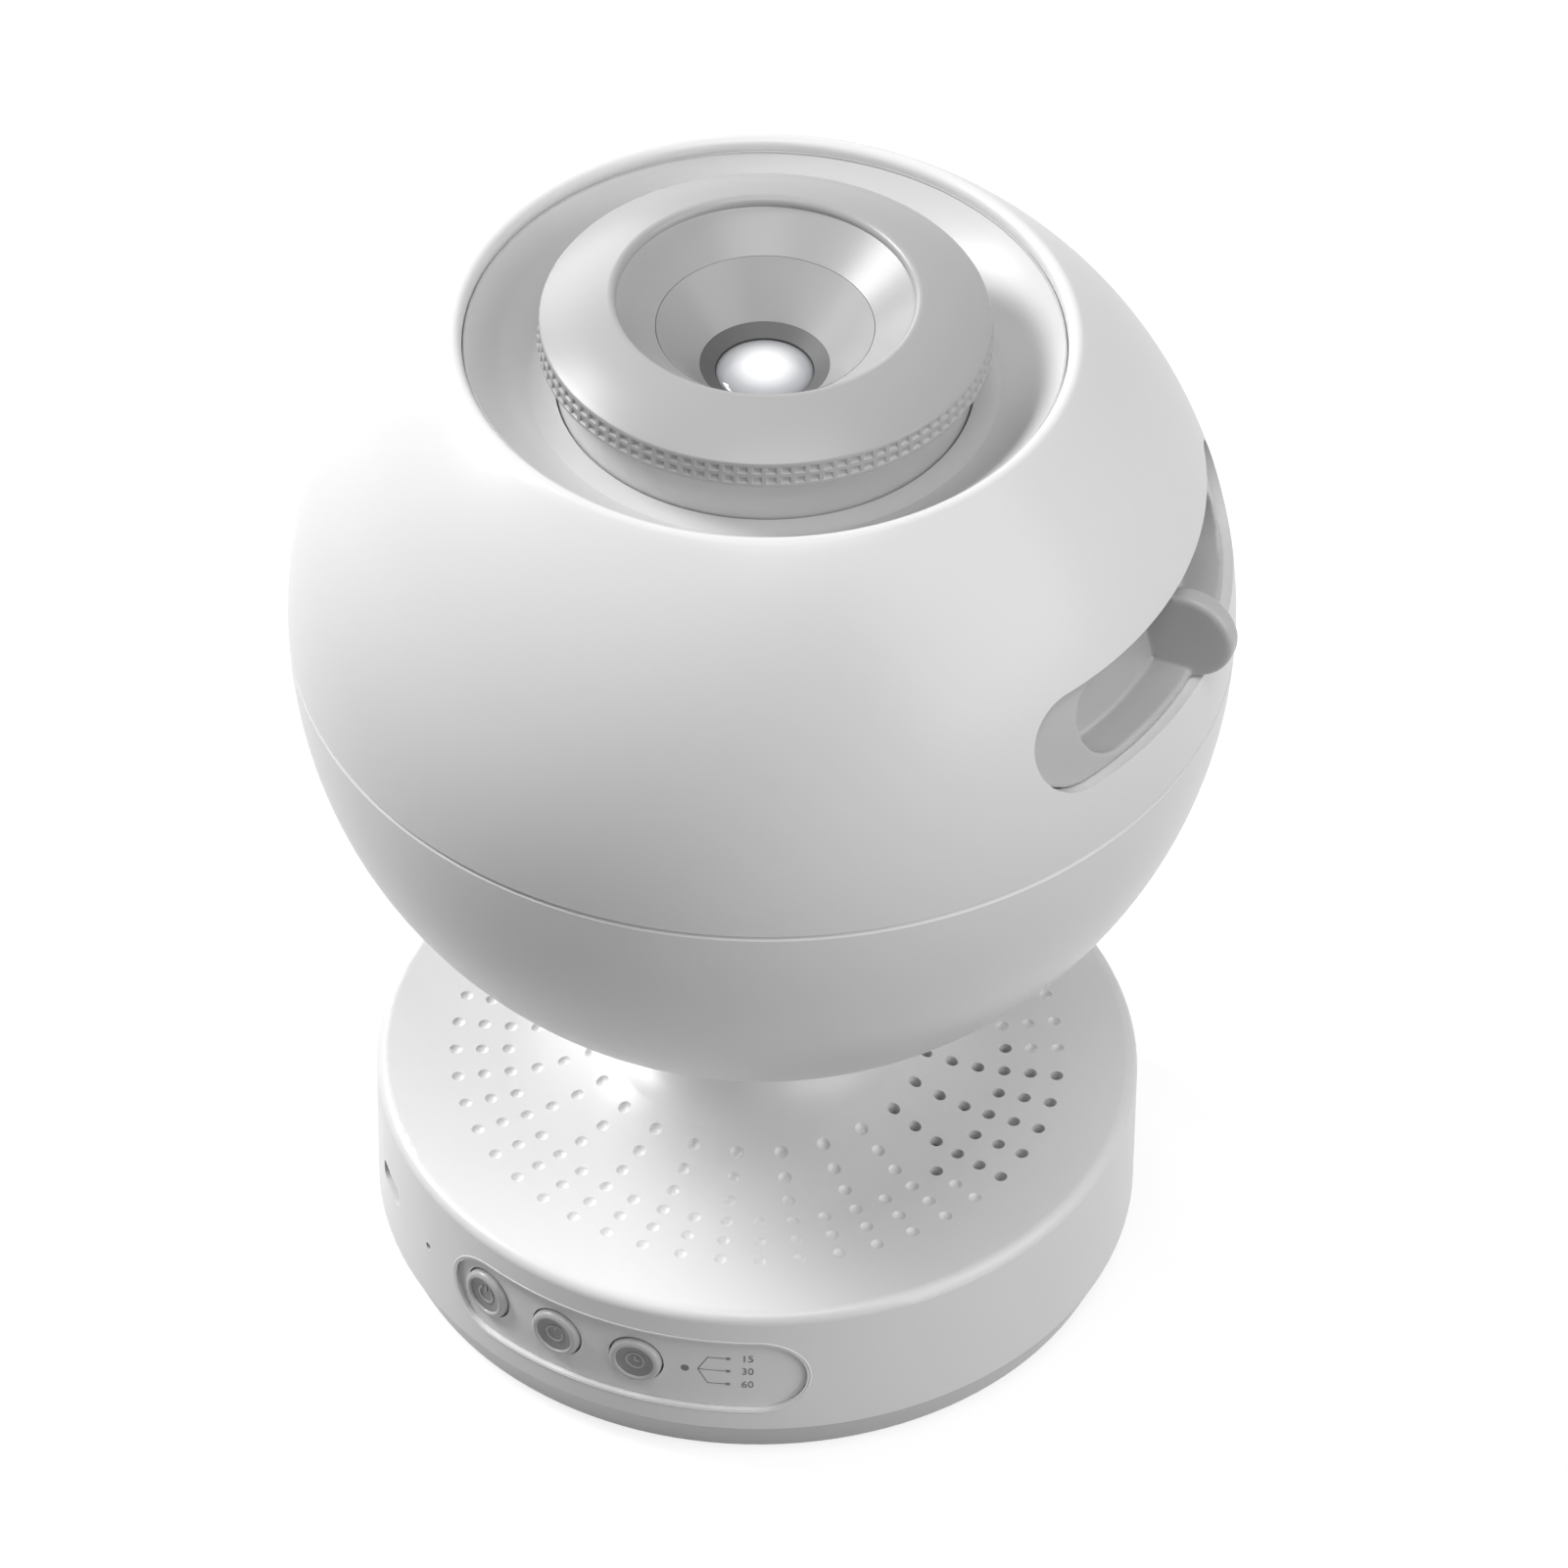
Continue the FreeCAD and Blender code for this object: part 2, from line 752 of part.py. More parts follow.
# Tilting yoke: a half ring inside the ball, with a pin at each end
def yoke():
    outer = yoke_inner + yoke_thick
    half = yoke_half_width
    arch = Part.makeCylinder(outer, half + half, V(0, half, ball_z), V(0, -1, 0))
    arch = arch.cut(Part.makeCylinder(yoke_inner, half + half + over + over, V(0, half + over, ball_z), V(0, -1, 0)))
    arch = arch.cut(block((-outer - over, -half - over, ball_z), (outer + over, half + over, ball_z + outer + over)))
    bosses = []
    for side in (-1, 1):
        near = side * (yoke_inner if side > 0 else yoke_inner + yoke_thick)
        bosses.append(Part.makeCylinder(yoke_boss, yoke_thick, V(near, 0, ball_z), V(1, 0, 0)))
    hub = ring(stem_radius + yoke_hub_wall, 0, stem_top() - over, ball_z - yoke_inner + over)
    body = arch.fuse(bosses + [hub])
    tools = [Part.makeCylinder(stem_radius + fit_gap, ball_z, V(0, 0, stem_top() - ball_z))]
    tools.append(Part.makeCylinder(stem_bore, ball_z, V(0, 0, over)))
    tools.append(Part.makeCylinder(pin_radius, outer + outer, V(-outer, 0, ball_z), V(1, 0, 0)))
    return body.cut(tools)


def sideways(radius, near, far, bore=0.0):
    """A bar along X on both sides of the ball's centre."""
    bars = []
    for side in (-1, 1):
        start = near if side > 0 else -far
        bar = Part.makeCylinder(radius, far - near, V(start, 0, ball_z), V(1, 0, 0))
        if bore > 0:
            bar = bar.cut(Part.makeCylinder(bore, far - near + over + over, V(start - over, 0, ball_z), V(1, 0, 0)))
        bars.append(bar)
    return bars


def tilt_pins():
    outer = yoke_inner + yoke_thick
    shanks = sideways(pin_radius, ear_x - over, outer)
    heads = sideways(pin_head_radius, outer, outer + pin_head)
    return group([shank.fuse(head) for shank, head in zip(shanks, heads)])


def tilt_washers():
    near = ear_x + ear_thick
    room = (yoke_inner - near) * washer_share
    return group(sideways(washer_radius, near + room, yoke_inner - room, pin_radius + run_gap))


# Ball shells
def shell_posts():
    return [around(shell_post_reach, angle) for angle in shell_post_angles]


def frame_posts():
    return [(side * x, y) for side in (-1, 1) for x, y in (front_post, back_post)]


def ball_upper_shell():
    seam = -seam_drop + fit_gap / 2
    lip_r = rim_radius + rim_round
    lip_z = height_on(ball_radius - rim_round, lip_r)
    grow = ball_radius / (ball_radius - rim_round)
    edge = (lip_r * grow, lip_z * grow)
    half = math.radians(25)
    slope = math.atan2(edge[1], edge[0])
    low = rim_z - rim_depth
    under_r = rim_radius + ball_wall
    chamfer_z = seam + seam_chamfer
    shell = turned(
        (height_on(ball_radius, chamfer_z) - seam_chamfer, seam),
        [
            (height_on(ball_radius, chamfer_z), chamfer_z),
            (ball_radius * math.cos(half), ball_radius * math.sin(half), edge[0], edge[1]),
            (lip_r + rim_round * math.cos((slope + math.pi) / 2), lip_z + rim_round * math.sin((slope + math.pi) / 2),
             rim_radius, lip_z),
            (rim_radius, low),
            (under_r, low),
            (under_r, height_on(inner_radius, under_r)),
            (inner_radius * math.cos(half), inner_radius * math.sin(half), height_on(inner_radius, seam), seam),
        ],
        ball_z,
    )
    wall = ball(ball_radius - ball_wall / 2)
    posts = []
    for x, y in shell_posts():
        post = Part.makeCylinder(shell_post_radius, ball_radius, V(x, y, ball_z + seam))
        posts.append(post.common(wall))
    shell = shell.fuse(posts)
    tools = [stadium(slot_half_width, slot_half_height, inner_radius / 2, ball_radius + over, ball_z + slot_z, "x")]
    for x, y in shell_posts():
        tools.append(Part.makeCylinder(screw_radius, shell_screw_sink, V(x, y, ball_z + seam - over)))
    return shell.cut(tools)


def ball_lower_shell():
    seam = -seam_drop - fit_gap / 2
    half = math.radians(45)
    chamfer_z = seam - seam_chamfer
    shell = turned(
        (height_on(ball_radius, chamfer_z) - seam_chamfer, seam),
        [
            (height_on(ball_radius, chamfer_z), chamfer_z),
            (ball_radius * math.cos(half), -ball_radius * math.sin(half), 0, -ball_radius),
            (0, -inner_radius),
            (inner_radius * math.cos(half), -inner_radius * math.sin(half), height_on(inner_radius, seam), seam),
        ],
        ball_z,
    )
    wall = ball(ball_radius - ball_wall / 2)
    added = []
    for x, y in shell_posts():
        post = Part.makeCylinder(shell_post_radius, ball_radius, V(x, y, ball_z + seam - ball_radius))
        added.append(post.common(wall))
    for x, y in frame_posts():
        post = Part.makeCylinder(post_radius, ball_radius + chassis_z - fit_gap, V(x, y, ball_z - ball_radius))
        below = block((-ball_radius, -ball_radius, ball_z - ball_radius), (ball_radius, ball_radius, ball_z + chassis_z))
        added.append(post.common(wall).common(below))
    shell = shell.fuse(added)
    tools = [tilt_slot()]
    for x, y in shell_posts():
        sink = ball_z + seam - shell_screw_sink
        tools.append(Part.makeCylinder(screw_head_radius + run_gap, ball_radius, V(x, y, sink - ball_radius)))
        tools.append(Part.makeCylinder(screw_radius + run_gap, ball_radius, V(x, y, sink - over)))
    for x, y in frame_posts():
        tools.append(Part.makeCylinder(screw_radius, shell_screw_sink, V(x, y, ball_z + chassis_z - shell_screw_sink)))
    return shell.cut(tools)


def tilt_slot():
    """The stem's way through the lower shell, from upright to the tilt limit towards +Y."""
    half = stem_radius + slot_clearance
    near = yoke_inner + yoke_thick + slot_clearance
    far = ball_radius + over
    start = Part.makeCylinder(half, far - near, V(0, 0, ball_z - far))
    end = start.copy()
    end.rotate(V(0, 0, ball_z), V(1, 0, 0), tilt_max)
    corners_of_face = [V(-half, 0, ball_z - far), V(half, 0, ball_z - far), V(half, 0, ball_z - near),
                       V(-half, 0, ball_z - near)]
    face = Part.Face(Part.makePolygon(corners_of_face + [corners_of_face[0]]))
    sweep = face.revolve(V(0, 0, ball_z), V(1, 0, 0), tilt_max)
    return sweep.fuse([start, end])


def shell_screws():
    screws = []
    sink = ball_z - seam_drop - shell_screw_sink - fit_gap
    for x, y in shell_posts():
        head = Part.makeCylinder(screw_head_radius, screw_head, V(x, y, sink - screw_head))
        shank = Part.makeCylinder(screw_radius - fit_gap, shell_screw_sink + shell_screw_sink / 2, V(x, y, sink))
        screws.append(head.fuse(shank))
    return group(screws)


def dish_insert():
    outer = rim_radius - dish_gap
    low = rim_z - rim_depth - fit_gap
    foot = low - dish_flange_thick
    flange = outer + dish_flange
    hole = sleeve_radius + seat_gap
    middle = ((outer + dish_floor_radius) / 2, (rim_z + dish_floor_z) / 2 - dish_sag)
    under = dish_floor_z - dish_wall
    collar = dish_collar_radius + dish_wall
    seat = mount_z + mount_thick + fit_gap
    shape = turned(
        (hole, dish_floor_z),
        [
            (dish_floor_radius, dish_floor_z),
            (middle[0], middle[1], outer, rim_z),
            (outer, low),
            (flange, low),
            (flange, foot),
            (outer - dish_wall, foot),
            (collar, under),
            (collar, seat),
            (dish_collar_radius, seat),
            (dish_collar_radius, under),
            (hole, under),
        ],
        ball_z,
    )
    return shape


# Focus ring, its sleeve and the helical grooves that drive the lens barrel
def focus_ring():
    top = ring_top_z
    knurl_foot = top - knurl_height
    bore = barrel_radius + barrel_gap
    hub = bore + hub_wall
    lip = mouth_radius + (ring_lip_radius - mouth_radius) / 2
    mouth_z = ring_lip_z - ring_lip_round
    inner = sleeve_radius - sleeve_wall
    seat = knurl_foot + sleeve_socket
    body = turned(
        (sleeve_radius, knurl_foot),
        [
            (ring_radius, knurl_foot),
            (ring_top_radius, top),
            (ring_lip_radius, ring_lip_z - ring_lip_round / 3),
            (lip, ring_lip_z, mouth_radius, mouth_z),
            (bore, barrel_top_z),
            (bore, hub_foot_z),
            (hub, hub_foot_z),
            (hub, knurl_foot + ring_wall),
            (inner, knurl_foot + ring_wall),
            (inner, seat),
            (sleeve_radius, seat),
        ],
        ball_z,
    )
    tools = []
    for row in range(knurl_rows):
        z = ball_z + knurl_foot + knurl_height * (row + 0.5) / knurl_rows
        for step in range(knurl_count):
            angle = (step + row / knurl_rows) * 2 * math.pi / knurl_count
            reach = (ring_radius + ring_top_radius) / 2 + knurl_dimple - knurl_depth
            tools.append(Part.makeSphere(knurl_dimple, V(reach * math.cos(angle), reach * math.sin(angle), z)))
    body = body.cut(tools)
    return body.cut([helical_groove(step * 360 / cam_count) for step in range(cam_count)])


def helical_groove(angle):
    turn = 2 * focus_turn + 2 * focus_turn_spare
    rise = focus_pitch * turn / 360
    near = barrel_radius - over
    far = barrel_radius + cam_reach + groove_gap
    half = cam_radius + groove_gap
    helix = Part.makeHelix(focus_pitch, rise, near)
    points = [V(near, 0, -half), V(far, 0, -half), V(far, 0, half), V(near, 0, half)]
    profile = Part.makePolygon(points + [points[0]])
    groove = Part.Wire(helix.Edges).makePipeShell([profile], True, True)
    groove.rotate(V(0, 0, 0), V(0, 0, 1), angle - turn / 2)
    groove.translate(V(0, 0, ball_z + cam_z - rise / 2))
    return groove


def focus_sleeve():
    top = ring_top_z - knurl_height + sleeve_socket
    foot = sleeve_foot_z
    flange = sleeve_radius + sleeve_flange
    inner = sleeve_radius - sleeve_wall
    return turned(
        (inner, top),
        [
            (sleeve_radius - fit_gap, top),
            (sleeve_radius - fit_gap, foot + sleeve_flange_thick),
            (flange, foot + sleeve_flange_thick),
            (flange, foot),
            (inner, foot),
        ],
        ball_z,
    )


def focus_spring():
    low = ball_z + mount_z + mount_thick + fit_gap
    return ring(sleeve_radius + sleeve_flange, sleeve_radius - sleeve_wall, low, ball_z + sleeve_foot_z - seat_gap)


def lens_barrel():
    seat = cone_foot_z - retainer_sink
    lens_low = seat - retainer_thick - front_lens_edge
    rear_top = barrel_foot_z + rear_lens_edge + rear_lens_ledge
    body = turned(
        (barrel_radius, barrel_foot_z),
        [
            (barrel_radius, barrel_top_z - fit_gap),
            (cone_foot_radius + fit_gap, cone_foot_z),
            (cone_foot_radius + fit_gap, lens_low),
            (cone_foot_radius - rear_lens_ledge, lens_low),
            (cone_foot_radius - rear_lens_ledge, lens_low - rear_lens_ledge),
            (rear_lens_radius - rear_lens_ledge, rear_top + rear_lens_ledge),
            (rear_lens_radius - rear_lens_ledge, rear_top),
            (rear_lens_radius + fit_gap, rear_top),
            (rear_lens_radius + fit_gap, barrel_foot_z),
        ],
        ball_z,
    )
    keys = []
    for angle in (0, 180):
        key = block(
            (-key_width / 2, -barrel_radius - key_reach, ball_z + barrel_foot_z),
            (key_width / 2, -barrel_radius + over, ball_z + barrel_foot_z + key_height),
        )
        keys.append(placed(key, angle))
    return body.fuse(keys)


def cam_pins():
    pins = []
    for step in range(cam_count):
        pin = Part.makeCylinder(cam_radius, cam_reach, V(barrel_radius, 0, ball_z + cam_z), V(1, 0, 0))
        pin.rotate(V(0, 0, 0), V(0, 0, 1), step * 360 / cam_count)
        pins.append(pin.cut(Part.makeCylinder(barrel_radius, ball_z, V(0, 0, ball_z))))
    return group(pins)


def lens_retainer():
    seat = cone_foot_z - retainer_sink
    return turned(
        (cone_foot_radius, cone_foot_z),
        [
            (retainer_bore, seat),
            (retainer_bore, seat - retainer_thick),
            (cone_foot_radius, seat - retainer_thick),
        ],
        ball_z,
    )


def crowned(radius, edge, crown, low):
    """A lens that is flat below and crowned above."""
    body = Part.makeCylinder(radius, edge, V(0, 0, low))
    bend = (radius * radius + crown * crown) / (crown + crown)
    cap = Part.makeSphere(bend, V(0, 0, low + edge + crown - bend))
    cap = cap.common(Part.makeCylinder(radius, crown + over, V(0, 0, low + edge)))
    return body.fuse(cap)


def front_lens():
    low = ball_z + cone_foot_z - retainer_sink - retainer_thick - front_lens_edge
    lens = Part.makeCylinder(cone_foot_radius, front_lens_edge, V(0, 0, low))
    top = crowned(retainer_bore - fit_gap, retainer_thick - front_lens_crown / 2, front_lens_crown, low + front_lens_edge)
    return lens.fuse(top)


def rear_lens():
    low = ball_z + barrel_foot_z + rear_lens_ledge
    lens = Part.makeCylinder(rear_lens_radius, rear_lens_edge - fit_gap, V(0, 0, low))
    bend = (rear_lens_radius ** 2 + rear_lens_crown ** 2) / (2 * rear_lens_crown)
    reach = rear_lens_radius - rear_lens_ledge - over
    cap = Part.makeSphere(bend, V(0, 0, low + rear_lens_edge + rear_lens_crown / 2 - bend))
    cap = cap.common(Part.makeCylinder(reach, rear_lens_crown, V(0, 0, low + rear_lens_edge / 2)))
    return lens.fuse(cap)


# Film drawer
def front_shell(outer, inner):
    return ball(outer).cut(ball(inner))


def tray_front():
    outer = ball_radius - front_sink
    z = ball_z + slot_z
    plate = stadium(slot_half_width - drawer_gap, slot_half_height - drawer_gap, inner_radius / 2, ball_radius, z, "x")
    plate = plate.common(front_shell(outer, outer - front_thick))
    pocket = stadium(pocket_half_width, pocket_half_height, inner_radius / 2, ball_radius + over, z, "x")
    pocket = pocket.cut(ball(outer - pocket_depth))
    plate = plate.cut(pocket)
    fin = Part.makeCylinder(fin_radius, fin_thick, V(fin_x, fin_thick / 2, z - fin_drop), V(0, -1, 0))
    fin = fin.makeFillet(fin_round, [e for e in fin.Edges if e.Closed])
    fin = fin.cut(ball(outer - front_thick + over))
    return plate.fuse(fin)


def drawer_lugs():
    z = ball_z + drawer_z + drawer_plate
    lugs = []
    for side in (-1, 1):
        y = side * lug_y
        lugs.append(block((lug_x, y - lug_half, z - over), (lug_x + lug_thick, y + lug_half, z + gear_height)))
    return lugs


def film_tray():
    low = ball_z + drawer_z
    top = ball_z + drawer_wall_top
    front = ball_radius - front_sink - front_thick - fit_gap
    wall_in = drawer_half_width - drawer_wall
    plate_round = Part.makeCylinder(drawer_half_width, drawer_plate, V(0, 0, low))
    rear = pinion_centre() - pinion_tip() - seat_gap
    plate = plate_round.common(block((-rear, -ball_radius, low), (ball_radius, ball_radius, top)))
    plate = plate.fuse(block((0, -drawer_half_width, low), (ball_radius, drawer_half_width, low + drawer_plate)))
    arms = []
    for side in (-1, 1):
        y = min(side * wall_in, side * drawer_half_width)
        arms.append(block((-drawer_arm_x, y, low), (ball_radius, y + drawer_wall, top)))
    collar = Part.makeCylinder(collar_radius, drawer_plate + collar_height, V(0, 0, low))
    body = plate.fuse(arms + drawer_lugs() + [collar])
    body = body.common(ball(front))
    tools = [Part.makeCylinder(collar_radius - collar_wall, ball_radius, V(0, 0, ball_z))]
    for side in (-1, 1):
        start = V(lug_x - over, side * lug_y, low + drawer_plate + gear_height / 2)
        tools.append(Part.makeCylinder(screw_radius, lug_thick + over + over, start, V(1, 0, 0)))
    return body.cut(tools)


def tray_screws():
    z = ball_z + drawer_z + drawer_plate + gear_height / 2
    screws = []
    for side in (-1, 1):
        y = side * lug_y
        head = Part.makeCylinder(screw_head_radius - lug_half / 4, screw_head, V(lug_x - screw_head, y, z), V(1, 0, 0))
        shank = Part.makeCylinder(screw_radius - fit_gap, lug_thick + fit_gap, V(lug_x, y, z), V(1, 0, 0))
        screws.append(head.fuse(shank))
    return group(screws)


# Film disc in its gear, and the pinion that turns it
def pitch_radius(teeth):
    return gear_module * teeth / 2


def gear_pitch_radius():
    return pitch_radius(gear_teeth)


def pinion_centre():
    return pitch_radius(gear_teeth) + pitch_radius(pinion_teeth)


def pinion_tip():
    return pitch_radius(pinion_teeth) + gear_module * tooth_addendum_share


def toothed(teeth, phase, height):
    """A spur gear about the origin, with a tooth at the phase angle in degrees."""
    pitch = pitch_radius(teeth)
    tip = pitch + gear_module * tooth_addendum_share
    root = pitch - gear_module * tooth_dedendum_share
    half_at_pitch = (math.pi * gear_module / 2 - tooth_play) / 2
    slope = math.tan(math.radians(pressure_angle))
    points = []
    for tooth in range(teeth):
        middle = math.radians(phase) + tooth * 2 * math.pi / teeth
        for radius, side in ((root, -1), (tip, -1), (tip, 1), (root, 1)):
            half = half_at_pitch - (radius - pitch) * slope
            angle = middle + side * half / radius
            points.append(V(radius * math.cos(angle), radius * math.sin(angle), 0))
    return Part.Face(Part.makePolygon(points + [points[0]])).extrude(V(0, 0, height))


def gear_z():
    return ball_z + drawer_z + drawer_plate + seat_gap


def disc_gear():
    half_step = 180 / gear_teeth
    body = toothed(gear_teeth, 180 + half_step, gear_height)
    body.translate(V(0, 0, gear_z()))
    ledge = gear_z() + collar_height
    tools = [Part.makeCylinder(collar_radius + run_gap, ledge - gear_z() + over, V(0, 0, gear_z() - over))]
    tools.append(Part.makeCylinder(collar_radius - gear_ledge, ball_z, V(0, 0, gear_z())))
    tools.append(Part.makeCylinder(film_radius + fit_gap, ball_z, V(0, 0, ledge + gear_ledge_thick)))
    return body.cut(tools)


def film_z():
    return gear_z() + collar_height + gear_ledge_thick


def film_disc():
    return ring(film_radius, 0, film_z(), film_z() + film_thick)


def disc_clip():
    low = film_z() + film_thick
    return ring(film_radius, film_radius - clip_width, low, low + clip_thick)


def drive_pinion():
    body = toothed(pinion_teeth, 0, pinion_height)
    body = body.cut(Part.makeCylinder(shaft_radius + fit_gap, ball_z, V(0, 0, -over)))
    body.translate(V(-pinion_centre(), 0, gear_z() + seat_gap))
    return body


def motor_shaft():
    low = ball_z + chassis_z - fit_gap
    return ring(shaft_radius, 0, low, gear_z() + seat_gap + pinion_height, -pinion_centre())


def disc_motor():
    top = ball_z + chassis_z - run_gap
    body = ring(motor_radius, 0, top - motor_height, top, -pinion_centre())
    tabs = block(
        (-pinion_centre() - shaft_radius - over, -motor_radius - motor_radius / 2, top - board_thick),
        (-pinion_centre() + shaft_radius + over, motor_radius + motor_radius / 2, top),
    )
    return body.fuse(tabs)


# Inner frame of the ball
def chassis():
    low = ball_z + chassis_z
    plate = ring(chassis_radius, 0, low, low + chassis_thick)
    added = []
    for side in (-1, 1):
        near = min(side * ear_x, side * (ear_x + ear_thick))
        ear = Part.makeCylinder(ear_half_width, ear_thick, V(near, 0, ball_z), V(1, 0, 0))
        ear = ear.fuse(block((near, -ear_half_width, ball_z), (near + ear_thick, ear_half_width, low + chassis_thick)))
        added.append(ear)
    for x in (-pillar_x, pillar_x):
        for y in (-pillar_y, pillar_y):
            added.append(ring(pillar_radius, 0, low, ball_z + mount_z - fit_gap, x, y))
    body = plate.fuse(added)
    tools = sideways(pin_radius + run_gap, ear_x - over, ear_x + ear_thick + over)
    tools.append(Part.makeCylinder(lamp_radius - lamp_wall, ball_z, V(0, 0, ball_z)))
    tools.append(Part.makeCylinder(shaft_radius + run_gap, ball_z, V(-pinion_centre(), 0, ball_z)))
    for x, y in frame_posts():
        tools.append(Part.makeCylinder(screw_radius + run_gap, ball_z, V(x, y, ball_z)))
    for x in (-pillar_x, pillar_x):
        for y in (-pillar_y, pillar_y):
            tools.append(Part.makeCylinder(screw_radius, ball_z, V(x, y, ball_z + mount_z - shell_screw_sink)))
    return body.cut(tools)


def tray_rails():
    rails = []
    low = ball_z + chassis_z + chassis_thick
    top = ball_z + drawer_wall_top + slide_gap + rail_lip_thick
    inner = drawer_half_width + slide_gap
    for side in (-1, 1):
        wall = sorted((side * inner, side * (inner + rail_wall)))
        shelf = sorted((side * (inner - drawer_wall), side * (inner + rail_wall)))
        lip = sorted((side * (inner - rail_lip), side * (inner + rail_wall)))
        rail = block((-rail_tail_x, wall[0], low), (rail_end_x, wall[1], top))
        rail = rail.fuse([
            block((-rail_tail_x, shelf[0], low), (rail_end_x, shelf[1], ball_z + drawer_z - slide_gap)),
            block((-rail_tail_x, lip[0], top - rail_lip_thick), (rail_end_x, lip[1], top)),
        ])
        rails.append(rail)
    return group(rails)


def lens_mount():
    low = ball_z + mount_z
    bore = barrel_radius + barrel_gap
    plate = ring(mount_radius, 0, low, low + mount_thick)
    tools = [Part.makeCylinder(bore, ball_z, V(0, 0, ball_z))]
    for angle in (0, 180):
        slot = block(
            (-key_width / 2 - barrel_gap, -bore - key_reach - barrel_gap, ball_z),
            (key_width / 2 + barrel_gap, 0, ball_z + ball_radius),
        )
        tools.append(placed(slot, angle))
    for x in (-pillar_x, pillar_x):
        for y in (-pillar_y, pillar_y):
            tools.append(Part.makeCylinder(screw_radius + run_gap, ball_z, V(x, y, ball_z)))
    return plate.cut(tools)


def frame_screws():
    screws = []
    places = [(x, y, chassis_z + chassis_thick, chassis_thick) for x, y in frame_posts()]
    for x in (-pillar_x, pillar_x):
        for y in (-pillar_y, pillar_y):
            places.append((x, y, mount_z + mount_thick, mount_thick))
    for x, y, z, through in places:
        head = Part.makeCylinder(screw_head_radius, screw_head, V(x, y, ball_z + z))
        length = through + shell_screw_sink / 2
        shank = Part.makeCylinder(screw_radius - fit_gap, length, V(x, y, ball_z + z - length))
        screws.append(head.fuse(shank))
    return group(screws)


# Lamp under the film
def lamp_housing():
    low = ball_z + lamp_foot_z
    body = turned(
        (lamp_radius, lamp_foot_z),
        [
            (lamp_radius, chassis_z - fit_gap),
            (lamp_radius - lamp_wall, chassis_z - fit_gap),
            (lamp_radius - lamp_wall, condenser_z),
            (lamp_radius - lamp_wall - lamp_wall, condenser_z - lamp_wall),
            (lamp_radius - lamp_wall - lamp_wall, lamp_foot_z + lamp_wall),
            (lamp_hole, lamp_foot_z + lamp_wall),
            (lamp_hole, lamp_foot_z),
        ],
        ball_z,
    )
    return body


def condenser_lens():
    return crowned(lamp_radius - lamp_wall - fit_gap, condenser_edge, condenser_crown, ball_z + condenser_z)


def led_board():
    top = ball_z + lamp_foot_z - fit_gap
    return ring(led_board_radius, 0, top - led_board_thick, top)


def led_emitter():
    low = ball_z + lamp_foot_z - fit_gap
    base = Part.makeCylinder(led_radius, led_height / 2, V(0, 0, low))
    dome = Part.makeSphere(led_radius - fit_gap, V(0, 0, low + led_height / 2 - led_height / 4))
    dome = dome.common(Part.makeCylinder(led_radius, led_radius, V(0, 0, low + led_height / 4)))
    return base.fuse(dome)


def heat_sink():
    top = ball_z + lamp_foot_z - led_board_thick - fit_gap - fit_gap
    plate = ring(sink_radius, 0, top - sink_plate, top)
    fins = []
    spread = 2 * (sink_radius - fin_plate)
    for step in range(fin_count):
        x = -spread / 2 + step * spread / (fin_count - 1)
        low = (x - fin_plate / 2, -sink_radius, top - sink_plate - fin_height)
        fins.append(block(low, (x + fin_plate / 2, sink_radius, top - sink_plate + fit_gap)))
    inside = ring(sink_radius, 0, top - sink_plate - fin_height - over, top)
    return plate.fuse([fin.common(inside) for fin in fins])


write("base_housing", base_housing())
write("base_bottom", base_bottom())
write("base_pad", base_pad())
write("base_screws", base_screws())
write("control_panel", control_panel())
for name, angle in zip(button_names, button_angles):
    write(name, button(angle))
write("button_flex", button_flex())
write("button_switches", button_switches())
write("timer_light", light_guide(timer_light_angle, button_z, base_radius - panel_depth))
write("charge_light", light_guide(charge_light_angle, charge_light_z, base_radius - panel_depth / 2))
write("charge_socket", charge_socket())
write("charge_board", charge_board())
write("main_board", main_board())
write("board_parts", board_parts())
write("battery", battery())
write("speaker_frame", speaker_frame())
write("speaker_cone", speaker_cone())
write("speaker_magnet", speaker_magnet())
write("swivel_bush", swivel_bush())
write("swivel_stem", swivel_stem())
write("swivel_washer", swivel_washer())
write("swivel_clip", swivel_clip())
write("yoke", yoke())
write("tilt_pins", tilt_pins())
write("tilt_washers", tilt_washers())
write("ball_upper_shell", ball_upper_shell())
write("ball_lower_shell", ball_lower_shell())
write("shell_screws", shell_screws())
write("dish_insert", dish_insert())
write("focus_ring", focus_ring())
write("focus_sleeve", focus_sleeve())
write("focus_spring", focus_spring())
write("lens_barrel", lens_barrel())
write("cam_pins", cam_pins())
write("lens_retainer", lens_retainer())
write("front_lens", front_lens())
write("rear_lens", rear_lens())
write("tray_front", tray_front())
write("film_tray", film_tray())
write("tray_screws", tray_screws())
write("disc_gear", disc_gear())
write("film_disc", film_disc())
write("disc_clip", disc_clip())
write("drive_pinion", drive_pinion())
write("motor_shaft", motor_shaft())
write("disc_motor", disc_motor())
write("chassis", chassis())
write("tray_rails", tray_rails())
write("lens_mount", lens_mount())
write("frame_screws", frame_screws())
write("lamp_housing", lamp_housing())
write("condenser_lens", condenser_lens())
write("led_board", led_board())
write("led_emitter", led_emitter())
write("heat_sink", heat_sink())
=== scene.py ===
# %% [markdown]
# # A ball-shaped planetarium projector
# The projector is a white ball that tilts and swivels on a round base. A film disc lies in a drawer in
# the ball's side, and a lens at the foot of a funnel throws its stars onto the ceiling. The measured
# model is loaded first and never moved; each cell then gives one piece its true surface, or its finish.

import json
import math

import bmesh
import bpy
from mathutils import Matrix, Vector


